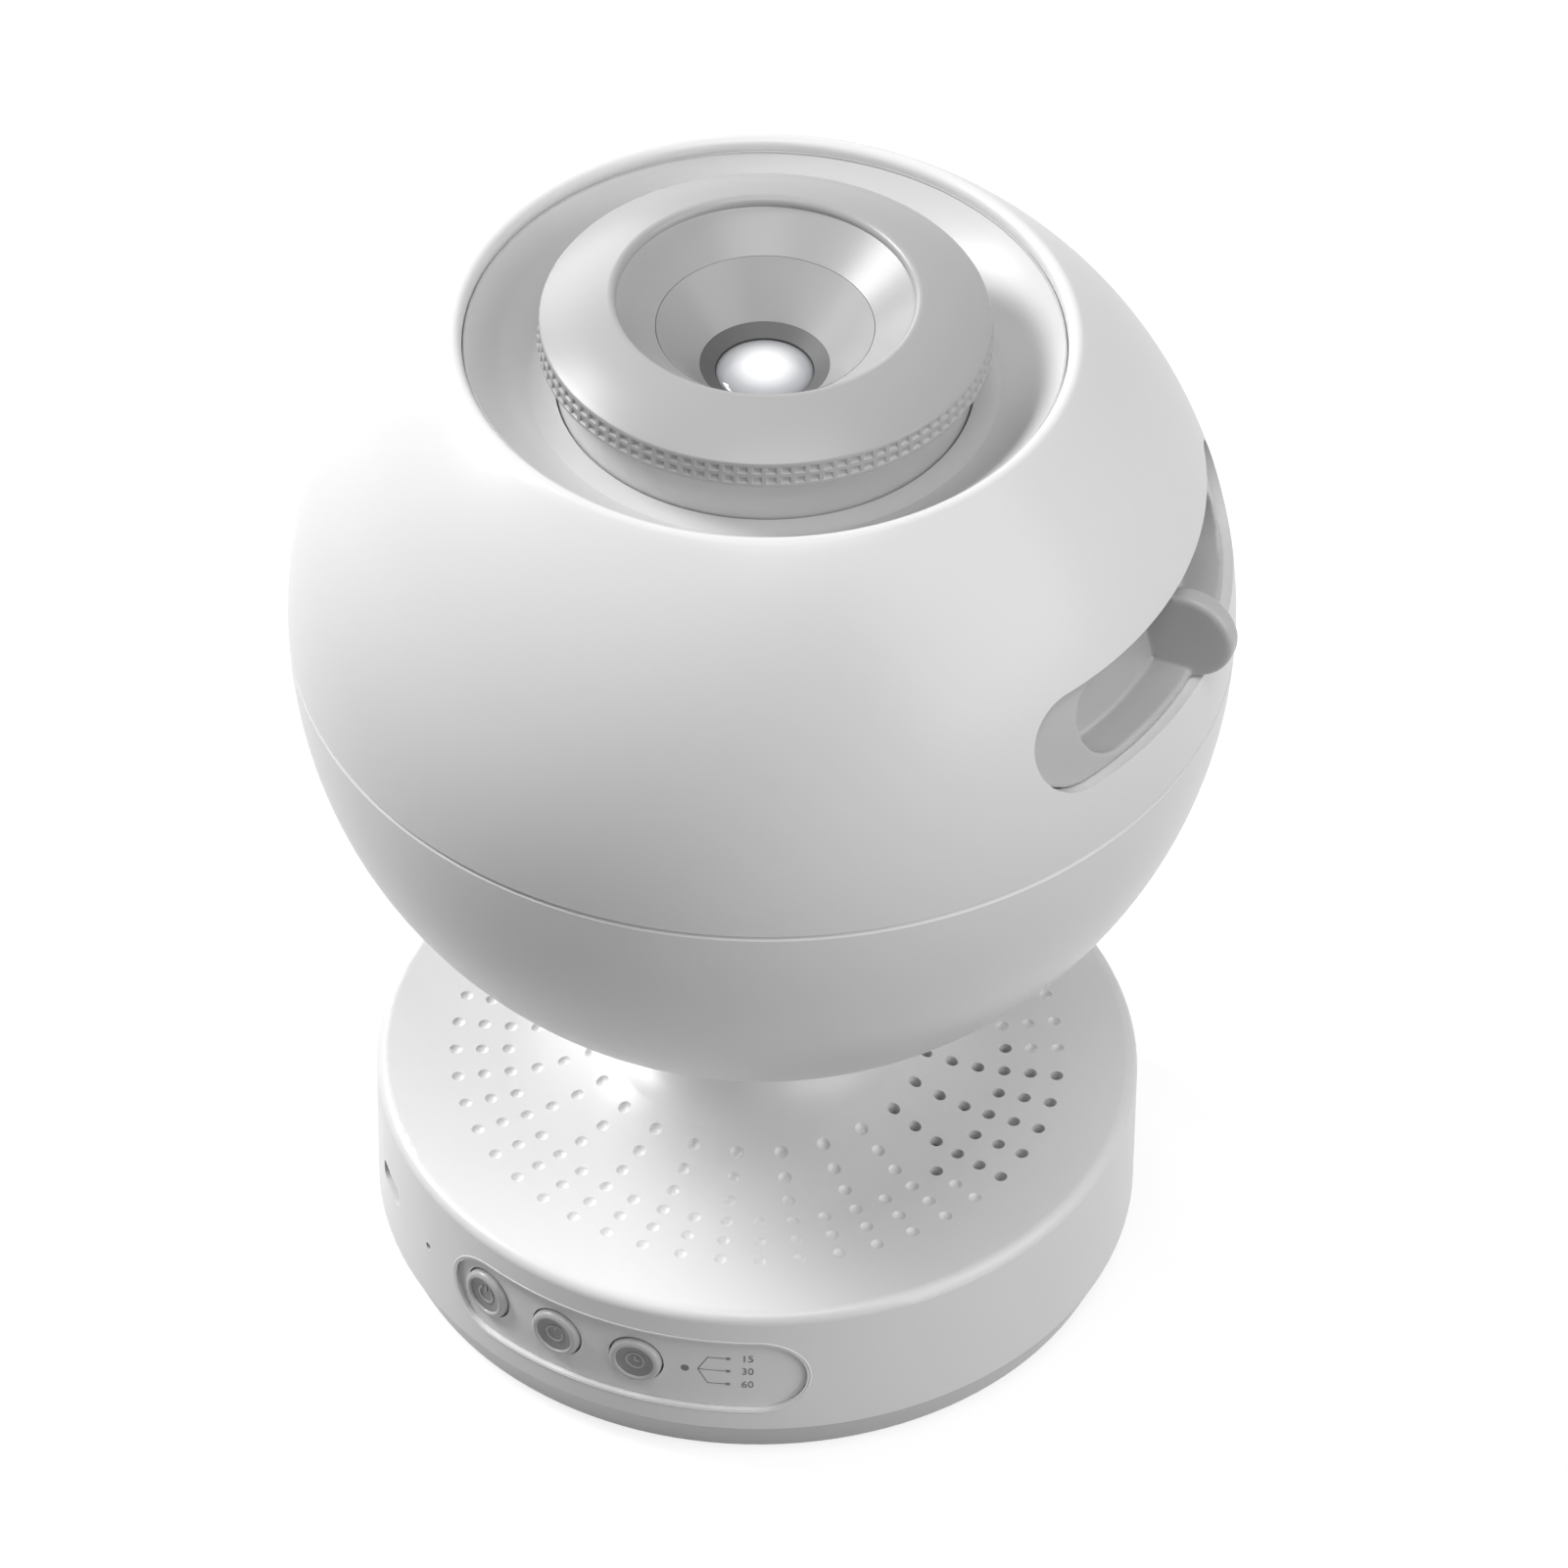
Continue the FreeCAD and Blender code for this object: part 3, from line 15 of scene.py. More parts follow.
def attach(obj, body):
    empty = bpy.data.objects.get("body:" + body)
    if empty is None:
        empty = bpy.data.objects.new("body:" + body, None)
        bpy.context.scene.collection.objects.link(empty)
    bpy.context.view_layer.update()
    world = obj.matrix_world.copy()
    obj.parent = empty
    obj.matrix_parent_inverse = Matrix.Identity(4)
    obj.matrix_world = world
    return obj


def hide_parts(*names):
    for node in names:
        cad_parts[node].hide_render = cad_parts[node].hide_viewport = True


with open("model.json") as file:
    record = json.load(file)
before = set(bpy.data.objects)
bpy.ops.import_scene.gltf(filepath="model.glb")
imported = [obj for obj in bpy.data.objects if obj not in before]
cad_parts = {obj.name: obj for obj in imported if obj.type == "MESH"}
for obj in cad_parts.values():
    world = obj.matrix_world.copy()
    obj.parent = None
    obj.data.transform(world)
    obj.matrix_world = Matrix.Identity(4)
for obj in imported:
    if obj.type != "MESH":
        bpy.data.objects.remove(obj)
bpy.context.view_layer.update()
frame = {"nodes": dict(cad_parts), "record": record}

# %% [markdown]
# Every length is in metres. These are the places that several cells need: the centre of the ball, its
# wall and seam, and the main radii. They are the same sizes that the measured model has.

# %% Sizes used by several pieces
MM = 0.001
BASE_RADIUS = 64.0 * MM
BALL_RADIUS = 77.0 * MM
BALL_WALL = 2.2 * MM
BALL_Z = 132.5 * MM
SEAM_Z = BALL_Z - 1.4 * MM
CENTRE = Vector((0.0, 0.0, BALL_Z))
print("ball from", round(BALL_Z - BALL_RADIUS, 4), "to", round(BALL_Z + BALL_RADIUS, 4))

# %% [markdown]
# ## Camera
# The picture was taken from far off with a long lens, about 42 degrees above the table. A long lens keeps
# the ball round, so distance and focal length are set together: a nearer camera with a shorter lens would
# give the same size but make the base look too small.

# %% Place the camera
CAMERA_PLACE = (0.51519, -1.30915, 1.37652)
CAMERA_TURN = (0.831488, -0.009592, 0.380868)
FOCAL_LENGTH = 265.4

scene = bpy.context.scene
scene.view_settings.view_transform = "Standard"
bpy.ops.object.camera_add(location=CAMERA_PLACE, rotation=CAMERA_TURN)
camera = bpy.context.object
camera.name = "viewer"
camera.data.sensor_width = 36.0
camera.data.lens = FOCAL_LENGTH
camera.data.clip_end = 30.0
scene.camera = camera
print("camera to ball:", round((camera.location - CENTRE).length, 3))

# %% [markdown]
# ## Floor and light
# A product like this is shown on a white sweep. The floor is a very large plane, so it has no edge in
# view. Seen by the camera it glows, which makes the background white without more light on the object,
# and the object's shadow still falls on it. Far from the object, where no lamp reaches, it glows fully,
# so it meets the white world without a line. The world lights all sides very softly.

# %% Floor and world
FLOOR_SIDE = 14.0
PAPER_GREY = 0.3
NEAR_GLOW = 0.8
FADE_START = 0.3
FADE_END = 1.6
ROOM_LIGHT = 0.05

bpy.ops.mesh.primitive_plane_add(size=FLOOR_SIDE, location=(0.0, 0.0, 0.0))
floor = bpy.context.object
floor.name = "floor"


def seen_plainly(tree):
    """1 where the camera, a reflection or a view through glass looks straight at the background."""
    path = tree.nodes.new("ShaderNodeLightPath")
    seen = path.outputs["Is Camera Ray"]
    for kind in ("Is Glossy Ray", "Is Transmission Ray"):
        either = tree.nodes.new("ShaderNodeMath")
        either.operation = "MAXIMUM"
        tree.links.new(seen, either.inputs[0])
        tree.links.new(path.outputs[kind], either.inputs[1])
        seen = either.outputs[0]
    return seen


def white_floor():
    material = bpy.data.materials.new("white_sweep")
    material.use_nodes = True
    tree = material.node_tree
    tree.nodes.clear()
    output = tree.nodes.new("ShaderNodeOutputMaterial")
    paper = tree.nodes.new("ShaderNodeBsdfDiffuse")
    paper.inputs["Color"].default_value = (PAPER_GREY, PAPER_GREY, PAPER_GREY, 1.0)
    glow = tree.nodes.new("ShaderNodeEmission")
    add = tree.nodes.new("ShaderNodeAddShader")
    place = tree.nodes.new("ShaderNodeTexCoord")
    reach = tree.nodes.new("ShaderNodeVectorMath")
    reach.operation = "LENGTH"
    tree.links.new(place.outputs["Object"], reach.inputs[0])
    fade = tree.nodes.new("ShaderNodeMapRange")
    fade.inputs["From Min"].default_value = FADE_START
    fade.inputs["From Max"].default_value = FADE_END
    fade.inputs["To Min"].default_value = NEAR_GLOW
    fade.inputs["To Max"].default_value = 1.0
    tree.links.new(reach.outputs["Value"], fade.inputs["Value"])
    level = tree.nodes.new("ShaderNodeMath")
    level.operation = "MULTIPLY"
    tree.links.new(seen_plainly(tree), level.inputs[0])
    tree.links.new(fade.outputs["Result"], level.inputs[1])
    tree.links.new(level.outputs[0], glow.inputs["Strength"])
    tree.links.new(paper.outputs[0], add.inputs[0])
    tree.links.new(glow.outputs[0], add.inputs[1])
    tree.links.new(add.outputs[0], output.inputs["Surface"])
    return material


floor.data.materials.append(white_floor())

world = bpy.data.worlds.new("studio")
scene.world = world
world.use_nodes = True
sky = world.node_tree
sky.nodes.clear()
sky_out = sky.nodes.new("ShaderNodeOutputWorld")
room = sky.nodes.new("ShaderNodeBackground")
room.inputs["Color"].default_value = (1.0, 1.0, 1.0, 1.0)
room.inputs["Strength"].default_value = ROOM_LIGHT
white = sky.nodes.new("ShaderNodeBackground")
white.inputs["Color"].default_value = (1.0, 1.0, 1.0, 1.0)
sky_mix = sky.nodes.new("ShaderNodeMixShader")
sky.links.new(seen_plainly(sky), sky_mix.inputs["Fac"])
sky.links.new(room.outputs[0], sky_mix.inputs[1])
sky.links.new(white.outputs[0], sky_mix.inputs[2])
sky.links.new(sky_mix.outputs[0], sky_out.inputs["Surface"])
print("floor and world ready")

# %% [markdown]
# Satin plastic shows the shape of its lights. A strong soft box stands high on the left, a large weak one
# hangs above in front, one opens the right side, and one behind on the left draws the bright edge of the
# focus ring. The gap between left and right leaves the grey band down the left of the ball.
# All are big, so that every edge of a shade is soft.

# %% Soft boxes


def soft_box(name, turn, rise, distance, size, power):
    """A square lamp that looks at the ball, placed by its bearing and its height in degrees."""
    flat = distance * math.cos(math.radians(rise))
    height = distance * math.sin(math.radians(rise))
    away = Vector((flat * math.cos(math.radians(turn)), flat * math.sin(math.radians(turn)), height))
    bpy.ops.object.light_add(type="AREA", location=CENTRE + away)
    lamp = bpy.context.object
    lamp.name = name
    lamp.data.shape = "SQUARE"
    lamp.data.size = size
    lamp.data.energy = power
    lamp.rotation_euler = (-away).to_track_quat("-Z", "Y").to_euler()


soft_box("window_left", 180.0, 39.0, 2.2, 0.8, 43.0)
soft_box("window_above", 310.0, 70.0, 2.0, 1.2, 16.0)
soft_box("window_right", 352.0, 24.0, 2.2, 2.0, 26.0)
soft_box("window_back", 138.0, 20.0, 2.2, 1.0, 11.0)

# %% [markdown]
# ## Moulded plastic
# Nearly everything in view is injection-moulded plastic. Its skin is a very fine grain that the mould
# leaves, with slow changes in gloss where hands and cloths have been. One node group makes both from
# Object coordinates, so the grain has the same real size on every piece. Each material then adds its own
# colour. The roughness of each plastic in view stays on one side of 0.27: below it Cycles treats the
# surface as a mirror when it cleans the noise, and a range across it would draw an edge on the piece.

# %% Node group: the moulded skin
GRAIN = 2600.0
SATIN = (0.28, 0.34)


def add_socket(group, name, direction, kind, value=None):
    socket = group.interface.new_socket(name=name, in_out=direction, socket_type=kind)
    if value is not None:
        socket.default_value = value
    return socket


def noise(tree, scale, detail=3.0, roughness=0.5):
    node = tree.nodes.new("ShaderNodeTexNoise")
    node.inputs["Scale"].default_value = scale
    node.inputs["Detail"].default_value = detail
    node.inputs["Roughness"].default_value = roughness
    return node


def remap(tree, source, low, high):
    """Spreads a mask over the values from low to high."""
    node = tree.nodes.new("ShaderNodeMapRange")
    node.inputs["From Min"].default_value = 0.2
    node.inputs["From Max"].default_value = 0.8
    node.inputs["To Min"].default_value = low
    node.inputs["To Max"].default_value = high
    tree.links.new(source, node.inputs["Value"])
    return node.outputs["Result"]


def moulded_skin_group():
    group = bpy.data.node_groups.new("moulded_skin", "ShaderNodeTree")
    add_socket(group, "Colour", "INPUT", "NodeSocketColor", (0.8, 0.8, 0.8, 1.0))
    add_socket(group, "Gloss low", "INPUT", "NodeSocketFloat", SATIN[0])
    add_socket(group, "Gloss high", "INPUT", "NodeSocketFloat", SATIN[1])
    add_socket(group, "Shade", "INPUT", "NodeSocketFloat", 0.03)
    add_socket(group, "Grain per metre", "INPUT", "NodeSocketFloat", GRAIN)
    add_socket(group, "Colour", "OUTPUT", "NodeSocketColor")
    add_socket(group, "Roughness", "OUTPUT", "NodeSocketFloat")
    add_socket(group, "Height", "OUTPUT", "NodeSocketFloat")
    given = group.nodes.new("NodeGroupInput")
    result = group.nodes.new("NodeGroupOutput")
    place = group.nodes.new("ShaderNodeTexCoord")
    grain = noise(group, GRAIN, 2.0)
    group.links.new(given.outputs["Grain per metre"], grain.inputs["Scale"])
    handled = noise(group, 18.0, 0.0)
    for node in (grain, handled):
        group.links.new(place.outputs["Object"], node.inputs["Vector"])
    group.links.new(grain.outputs["Fac"], result.inputs["Height"])
    gloss = group.nodes.new("ShaderNodeMapRange")
    group.links.new(handled.outputs["Fac"], gloss.inputs["Value"])
    group.links.new(given.outputs["Gloss low"], gloss.inputs["To Min"])
    group.links.new(given.outputs["Gloss high"], gloss.inputs["To Max"])
    group.links.new(gloss.outputs["Result"], result.inputs["Roughness"])
    darker = group.nodes.new("ShaderNodeMix")
    darker.data_type = "RGBA"
    darker.blend_type = "MULTIPLY"
    amount = group.nodes.new("ShaderNodeMath")
    amount.operation = "MULTIPLY"
    group.links.new(handled.outputs["Fac"], amount.inputs[0])
    group.links.new(given.outputs["Shade"], amount.inputs[1])
    group.links.new(amount.outputs[0], darker.inputs["Factor"])
    group.links.new(given.outputs["Colour"], darker.inputs["A"])
    darker.inputs["B"].default_value = (0.2, 0.2, 0.2, 1.0)
    group.links.new(darker.outputs["Result"], result.inputs["Colour"])
    return group


MOULDED_SKIN = moulded_skin_group()
print("group sockets:", len(MOULDED_SKIN.interface.items_tree))


# %% A plastic from the group


def plastic(name, colour, gloss, shade=0.03, grain=GRAIN, depth=0.02, metal=0.0):
    material = bpy.data.materials.new(name)
    material.use_nodes = True
    tree = material.node_tree
    surface = tree.nodes["Principled BSDF"]
    skin = tree.nodes.new("ShaderNodeGroup")
    skin.node_tree = MOULDED_SKIN
    skin.inputs["Colour"].default_value = (*colour, 1.0)
    skin.inputs["Gloss low"].default_value = gloss[0]
    skin.inputs["Gloss high"].default_value = gloss[1]
    skin.inputs["Shade"].default_value = shade
    skin.inputs["Grain per metre"].default_value = grain
    bump = tree.nodes.new("ShaderNodeBump")
    bump.inputs["Strength"].default_value = 0.35
    bump.inputs["Distance"].default_value = depth * MM
    tree.links.new(skin.outputs["Height"], bump.inputs["Height"])
    tree.links.new(skin.outputs["Colour"], surface.inputs["Base Color"])
    tree.links.new(skin.outputs["Roughness"], surface.inputs["Roughness"])
    tree.links.new(bump.outputs["Normal"], surface.inputs["Normal"])
    surface.inputs["IOR"].default_value = 1.49
    surface.inputs["Metallic"].default_value = metal
    return material


def grey(level):
    return (level, level, level)


finishes = {
    "white_shell": plastic("satin_white_shell", grey(0.8), SATIN, 0.01),
    "white_base": plastic("satin_white_base", grey(0.84), SATIN, 0.01),
    "cover": plastic("pale_bottom_cover", grey(0.62), (0.34, 0.42), 0.01),
    "pad": plastic("black_rubber_pad", grey(0.02), (0.7, 0.85), 0.3, 1400.0, 0.06),
    "panel": plastic("pale_panel", grey(0.8), SATIN, 0.01),
    # Painted shade: the button's middle is darker for the shade that falls in its hollow.
    "button": plastic("button_middle_painted_shade", grey(0.24), SATIN, 0.01),
    "dish": plastic("satin_grey_dish", grey(0.68), (0.29, 0.35), 0.01),
    "focus": plastic("satin_grey_focus_ring", grey(0.42), SATIN, 0.01),
    "sleeve": plastic("grey_focus_sleeve", grey(0.6), (0.3, 0.36), 0.01),
    "black": plastic("black_inner_plastic", grey(0.016), (0.45, 0.6)),
    # The lens ring's grey is paler than the black parts: painted light for the funnel's light falling on
    # it.
    "lens_ring": plastic("lens_ring_painted_light", grey(0.12), (0.45, 0.6)),
    "drawer": plastic("grey_drawer_front", grey(0.52), SATIN, 0.01),
    "film": plastic("glossy_film", grey(0.01), (0.05, 0.12)),
    "gear": plastic("natural_gear_plastic", (0.62, 0.6, 0.54), (0.4, 0.5)),
    "steel": plastic("plain_steel", grey(0.4), (0.3, 0.4), 0.1, 900.0, 0.01, metal=1.0),
    "stem": plastic("white_stem", grey(0.75), (0.35, 0.45)),
    "sink": plastic("raw_aluminium", grey(0.55), (0.35, 0.5), 0.1, 1200.0, 0.02, metal=1.0),
    "board": plastic("green_circuit_board", (0.01, 0.09, 0.03), (0.3, 0.4)),
    "chips": plastic("black_parts", grey(0.012), (0.4, 0.5)),
    "battery": plastic("blue_battery_sleeve", (0.02, 0.06, 0.2), (0.15, 0.25)),
    "paper": plastic("treated_paper_cone", grey(0.02), (0.8, 0.9), 0.3, 1800.0, 0.08),
    "light": plastic("smoked_light_guide", grey(0.16), (0.1, 0.2)),
}
print("finishes:", len(finishes))

# %% [markdown]
# ## Coated glass
# The two lenses and the condenser are clear glass. A thin coat of a second gloss stands for the lens's
# coating. The metallic and transmission values stay plain numbers, so that the glass also leaves Blender
# whole.

# %% Glass


def lens_glass(name, tint):
    material = bpy.data.materials.new(name)
    material.use_nodes = True
    tree = material.node_tree
    surface = tree.nodes["Principled BSDF"]
    surface.inputs["Transmission Weight"].default_value = 1.0
    surface.inputs["IOR"].default_value = 1.52
    surface.inputs["Coat Weight"].default_value = 0.5
    surface.inputs["Coat Roughness"].default_value = 0.02
    place = tree.nodes.new("ShaderNodeTexCoord")
    dust = noise(tree, 700.0, 5.0, 0.7)
    tree.links.new(place.outputs["Object"], dust.inputs["Vector"])
    tree.links.new(remap(tree, dust.outputs["Fac"], 0.0, 0.06), surface.inputs["Roughness"])
    hue = tree.nodes.new("ShaderNodeMix")
    hue.data_type = "RGBA"
    hue.inputs["A"].default_value = (*tint, 1.0)
    hue.inputs["B"].default_value = (0.9, 0.9, 0.9, 1.0)
    tree.links.new(dust.outputs["Fac"], hue.inputs["Factor"])
    tree.links.new(hue.outputs["Result"], surface.inputs["Base Color"])
    return material


finishes["glass"] = lens_glass("coated_glass", (0.93, 0.96, 1.0))

# %% [markdown]
# Each piece takes the finish of its slot. The ring round the front lens has a finish of its own: a paler
# grey than the black pieces inside the ball, painted light for the light the funnel throws on it from all
# sides.

# %% Give every measured piece its finish
OWN_FINISH = {"lens_retainer": "lens_ring"}
for part in frame["record"]["subparts"]:
    piece = frame["nodes"][part["node"]]
    for place in piece.material_slots:
        place.material = finishes[OWN_FINISH.get(part["node"], part["material_slot"])]

# %% [markdown]
# ## Turned forms
# The ball, the dish and the focus ring are all round about one upright axis, and so is each button about
# its own. Each could be spun from a line, but growing it ring by ring is easier to control: a circle is
# extruded, lifted and scaled to the next point of the outline. The last ring meets the first, so the form
# is a closed solid.

# %% Grow a closed form ring by ring
SAME_LEVEL = 0.001 * MM
SAME_PLACE = 0.002 * MM
POLE_RADIUS = 0.2 * MM


def pick_nothing():
    if bpy.context.object and bpy.context.object.mode != "OBJECT":
        bpy.ops.object.mode_set(mode="OBJECT")
    bpy.ops.object.select_all(action="DESELECT")


def pick(piece):
    pick_nothing()
    piece.select_set(True)
    bpy.context.view_layer.objects.active = piece


def bend(centre, radius, start, end, steps):
    """Points of an arc in the outline, its angles in degrees from the horizontal."""
    found = []
    for step in range(steps + 1):
        angle = math.radians(start + (end - start) * step / steps)
        found.append((centre[0] + radius * math.cos(angle), centre[1] + radius * math.sin(angle)))
    return found


def height_on(radius, reach):
    """Height of a circle over its centre at a distance out from it."""
    return math.sqrt(radius * radius - reach * reach)


def rise_on(radius, height):
    """Angle from the horizontal at which a circle reaches a height over its centre."""
    return math.degrees(math.asin(height / radius))


def close_end(piece, z):
    """Draws the ring at one end of an open form together to a point."""
    shape = bmesh.from_edit_mesh(piece.data)
    for vertex in shape.verts:
        vertex.select = abs(vertex.co.z - z) < SAME_LEVEL and vertex.co.xy.length < POLE_RADIUS
    shape.select_flush(True)
    bmesh.update_edit_mesh(piece.data)
    bpy.ops.mesh.merge(type="CENTER")


def turned(name, outline, sides=192, poles=False):
    """A form of revolution, closed on itself, or with a pole at each end of its outline."""
    pick_nothing()
    radius, z = outline[0]
    bpy.ops.mesh.primitive_circle_add(vertices=sides, radius=radius, location=(0.0, 0.0, z))
    piece = bpy.context.object
    piece.name = name
    bpy.ops.object.transform_apply(location=True, rotation=False, scale=False)
    bpy.ops.object.mode_set(mode="EDIT")
    bpy.ops.mesh.select_all(action="SELECT")
    steps = outline[1:] if poles else outline[1:] + outline[:1]
    for next_radius, next_z in steps:
        bpy.ops.mesh.extrude_edges_move(TRANSFORM_OT_translate={"value": (0.0, 0.0, next_z - z)})
        grow = next_radius / radius
        bpy.ops.transform.resize(value=(grow, grow, 1.0), center_override=(0.0, 0.0, next_z))
        radius, z = next_radius, next_z
    if poles:
        close_end(piece, outline[0][1])
        close_end(piece, outline[-1][1])
    bpy.ops.mesh.select_all(action="SELECT")
    bpy.ops.mesh.remove_doubles(threshold=SAME_PLACE)
    bpy.ops.mesh.normals_make_consistent(inside=False)
    bpy.ops.object.mode_set(mode="OBJECT")
    return piece


def smooth(piece, angle=30.0):
    pick(piece)
    bpy.ops.object.shade_smooth_by_angle(angle=math.radians(angle))


def use_modifier(piece, kind, **settings):
    pick(piece)
    modifier = piece.modifiers.new(kind.lower(), kind)
    for key, value in settings.items():
        setattr(modifier, key, value)
    bpy.ops.object.modifier_apply(modifier=modifier.name)


def cut_away(piece, tool):
    """Cuts the tool out of the piece and throws the tool away."""
    use_modifier(piece, "BOOLEAN", operation="DIFFERENCE", solver="EXACT", object=tool)
    bpy.data.objects.remove(tool)


def dress(piece, finish, body, *nodes, slot=None):
    piece.data.materials.clear()
    piece.data.materials.append(finishes[finish])
    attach(piece, body)
    if nodes:
        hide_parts(*nodes)
    print(piece.name, "faces:", len(piece.data.polygons))


def pill(name, half_width, half_height, near, far, z, turn=0.0):
    """A bar with round ends lying along -Y, turned about the upright axis."""
    pick_nothing()
    bpy.ops.mesh.primitive_circle_add(vertices=96, radius=half_height, rotation=(math.pi / 2, 0, 0))
    bar = bpy.context.object
    bar.name = name
    bpy.ops.object.transform_apply(location=True, rotation=True, scale=True)
    bpy.ops.object.mode_set(mode="EDIT")
    shape = bmesh.from_edit_mesh(bar.data)
    for side in (-1, 1):
        for vertex in shape.verts:
            vertex.select = vertex.co.x * side > half_height * 0.001
        shape.select_flush(True)
        bmesh.update_edit_mesh(bar.data)
        bpy.ops.transform.translate(value=(side * (half_width - half_height), 0, 0))
    bpy.ops.mesh.select_all(action="SELECT")
    bpy.ops.mesh.edge_face_add()
    bpy.ops.mesh.extrude_region_move(TRANSFORM_OT_translate={"value": (0, near - far, 0)})
    bpy.ops.mesh.select_all(action="SELECT")
    bpy.ops.mesh.normals_make_consistent(inside=False)
    bpy.ops.transform.translate(value=(0, -near, z))
    bpy.ops.object.mode_set(mode="OBJECT")
    bar.data.transform(Matrix.Rotation(math.radians(turn), 4, "Z"))
    return bar


# %% [markdown]
# ## Ball
# The ball is two thin shells that meet just below the middle. Each has a small chamfer at the joint,
# which makes the fine bright line with a dark middle. The upper shell turns in over a round lip at the
# dish, and a slot with round ends is cut in its side for the film drawer. A plain sphere would have
# neither.

# %% Upper shell
RIM_RADIUS = 48.3 * MM
RIM_ROUND = 1.5 * MM
RIM_Z = BALL_Z + 56.5 * MM
RIM_DEPTH = 3.0 * MM
SEAM_CHAMFER = 0.15 * MM
SEAM_GAP = 0.22 * MM
SLOT_Z = BALL_Z + 20.3 * MM
SLOT_HALF_WIDTH = 40.0 * MM
SLOT_HALF_HEIGHT = 8.8 * MM
TOOL_NEAR = 40.0 * MM
TOOL_FAR = 80.0 * MM

inner_radius = BALL_RADIUS - BALL_WALL
lip_radius = RIM_RADIUS + RIM_ROUND
lip_z = height_on(BALL_RADIUS - RIM_ROUND, lip_radius)
slope = math.degrees(math.atan2(lip_z, lip_radius))
seam_low = SEAM_Z - BALL_Z
seam_high = seam_low + SEAM_CHAMFER
seam_angle = rise_on(BALL_RADIUS, seam_high)
under_radius = RIM_RADIUS + BALL_WALL
under_angle = math.degrees(math.acos(under_radius / inner_radius))
upper_outline = [(height_on(BALL_RADIUS, seam_high) - SEAM_CHAMFER, SEAM_Z)]
upper_outline += bend((0.0, BALL_Z), BALL_RADIUS, seam_angle, slope, 40)
upper_outline += bend((lip_radius, BALL_Z + lip_z), RIM_ROUND, slope, 180.0, 8)[1:]
upper_outline += [(RIM_RADIUS, RIM_Z - RIM_DEPTH), (under_radius, RIM_Z - RIM_DEPTH)]
upper_outline += bend((0.0, BALL_Z), inner_radius, under_angle, rise_on(inner_radius, seam_low), 16)
upper_shell = turned("upper_shell", upper_outline, 256)
slot_tool = pill("slot_tool", SLOT_HALF_WIDTH, SLOT_HALF_HEIGHT, TOOL_NEAR, TOOL_FAR, SLOT_Z, 90.0)
cut_away(upper_shell, slot_tool)
smooth(upper_shell, 25.0)
dress(upper_shell, "white_shell", "head", "ball_upper_shell")

# %% Lower shell
STEM_SLOT_RADIUS = 7.7 * MM
STEM_SLOT_DEPTH = 12.0 * MM
STEM_SLOT_Z = -74.0 * MM
TILT_ANGLE = 45.0
LOWER_CHAMFER = 0.6 * MM
SOUTH_POLE = -89.2

lower_seam = seam_low - SEAM_GAP
lower_edge = lower_seam - LOWER_CHAMFER
lower_outline = [(height_on(BALL_RADIUS, lower_edge) - LOWER_CHAMFER, BALL_Z + lower_seam)]
lower_outline += bend((0.0, BALL_Z), BALL_RADIUS, rise_on(BALL_RADIUS, lower_edge), SOUTH_POLE, 56)
lower_outline += bend((0.0, BALL_Z), inner_radius, SOUTH_POLE, rise_on(inner_radius, lower_seam), 28)
lower_shell = turned("lower_shell", lower_outline, 256)
print("lower shell grown")

# %% [markdown]
# The ball tilts on the stem, so the stem needs a slot along an arc of the lower shell. Two round tools
# cut its ends. Between them a box is extruded face by face, each step turned a little about the ball's
# centre.

# %% Slot for the stem in the lower shell
ARC_STEPS = 30
for lean in (0.0, TILT_ANGLE):
    pick_nothing()
    bpy.ops.mesh.primitive_cylinder_add(vertices=64, radius=STEM_SLOT_RADIUS, depth=STEM_SLOT_DEPTH)
    end_tool = bpy.context.object
    bpy.ops.transform.translate(value=(0, 0, STEM_SLOT_Z))
    bpy.ops.object.transform_apply(location=True, rotation=True, scale=True)
    end_tool.data.transform(Matrix.Translation(CENTRE) @ Matrix.Rotation(math.radians(lean), 4, "X"))
    cut_away(lower_shell, end_tool)
pick_nothing()
bpy.ops.mesh.primitive_cube_add(size=1.0)
path_tool = bpy.context.object
bpy.ops.transform.resize(value=(2 * STEM_SLOT_RADIUS, 0.4 * MM, STEM_SLOT_DEPTH))
bpy.ops.object.transform_apply(location=True, rotation=True, scale=True)
path_tool.data.transform(Matrix.Translation((0, 0, STEM_SLOT_Z)))
bpy.ops.object.mode_set(mode="EDIT")
shape = bmesh.from_edit_mesh(path_tool.data)
for face in shape.faces:
    face.select = face.normal.y > 0.9
bmesh.update_edit_mesh(path_tool.data)
turn_step = Matrix.Rotation(math.radians(TILT_ANGLE / ARC_STEPS), 3, "X")
for step in range(ARC_STEPS):
    bpy.ops.mesh.extrude_region_move(TRANSFORM_OT_translate={"value": (0, 0, 0)})
    shape = bmesh.from_edit_mesh(path_tool.data)
    chosen = [v for v in shape.verts if v.select]
    bmesh.ops.rotate(shape, verts=chosen, cent=(0, 0, 0), matrix=turn_step)
    bmesh.update_edit_mesh(path_tool.data)
bpy.ops.mesh.select_all(action="SELECT")
bpy.ops.mesh.normals_make_consistent(inside=False)
bpy.ops.object.mode_set(mode="OBJECT")
path_tool.data.transform(Matrix.Translation(CENTRE))
cut_away(lower_shell, path_tool)
smooth(lower_shell, 25.0)
dress(lower_shell, "white_shell", "head", "ball_lower_shell")

# %% [markdown]
# ## Dish
# The grey dish fits in the mouth of the ball and leaves a hairline all round. It falls to a flat floor
# round the focus ring and sags a little on the way, so its shade changes slowly round the ring. Its outer
# edge is rounded, because the hairline catches the light there.

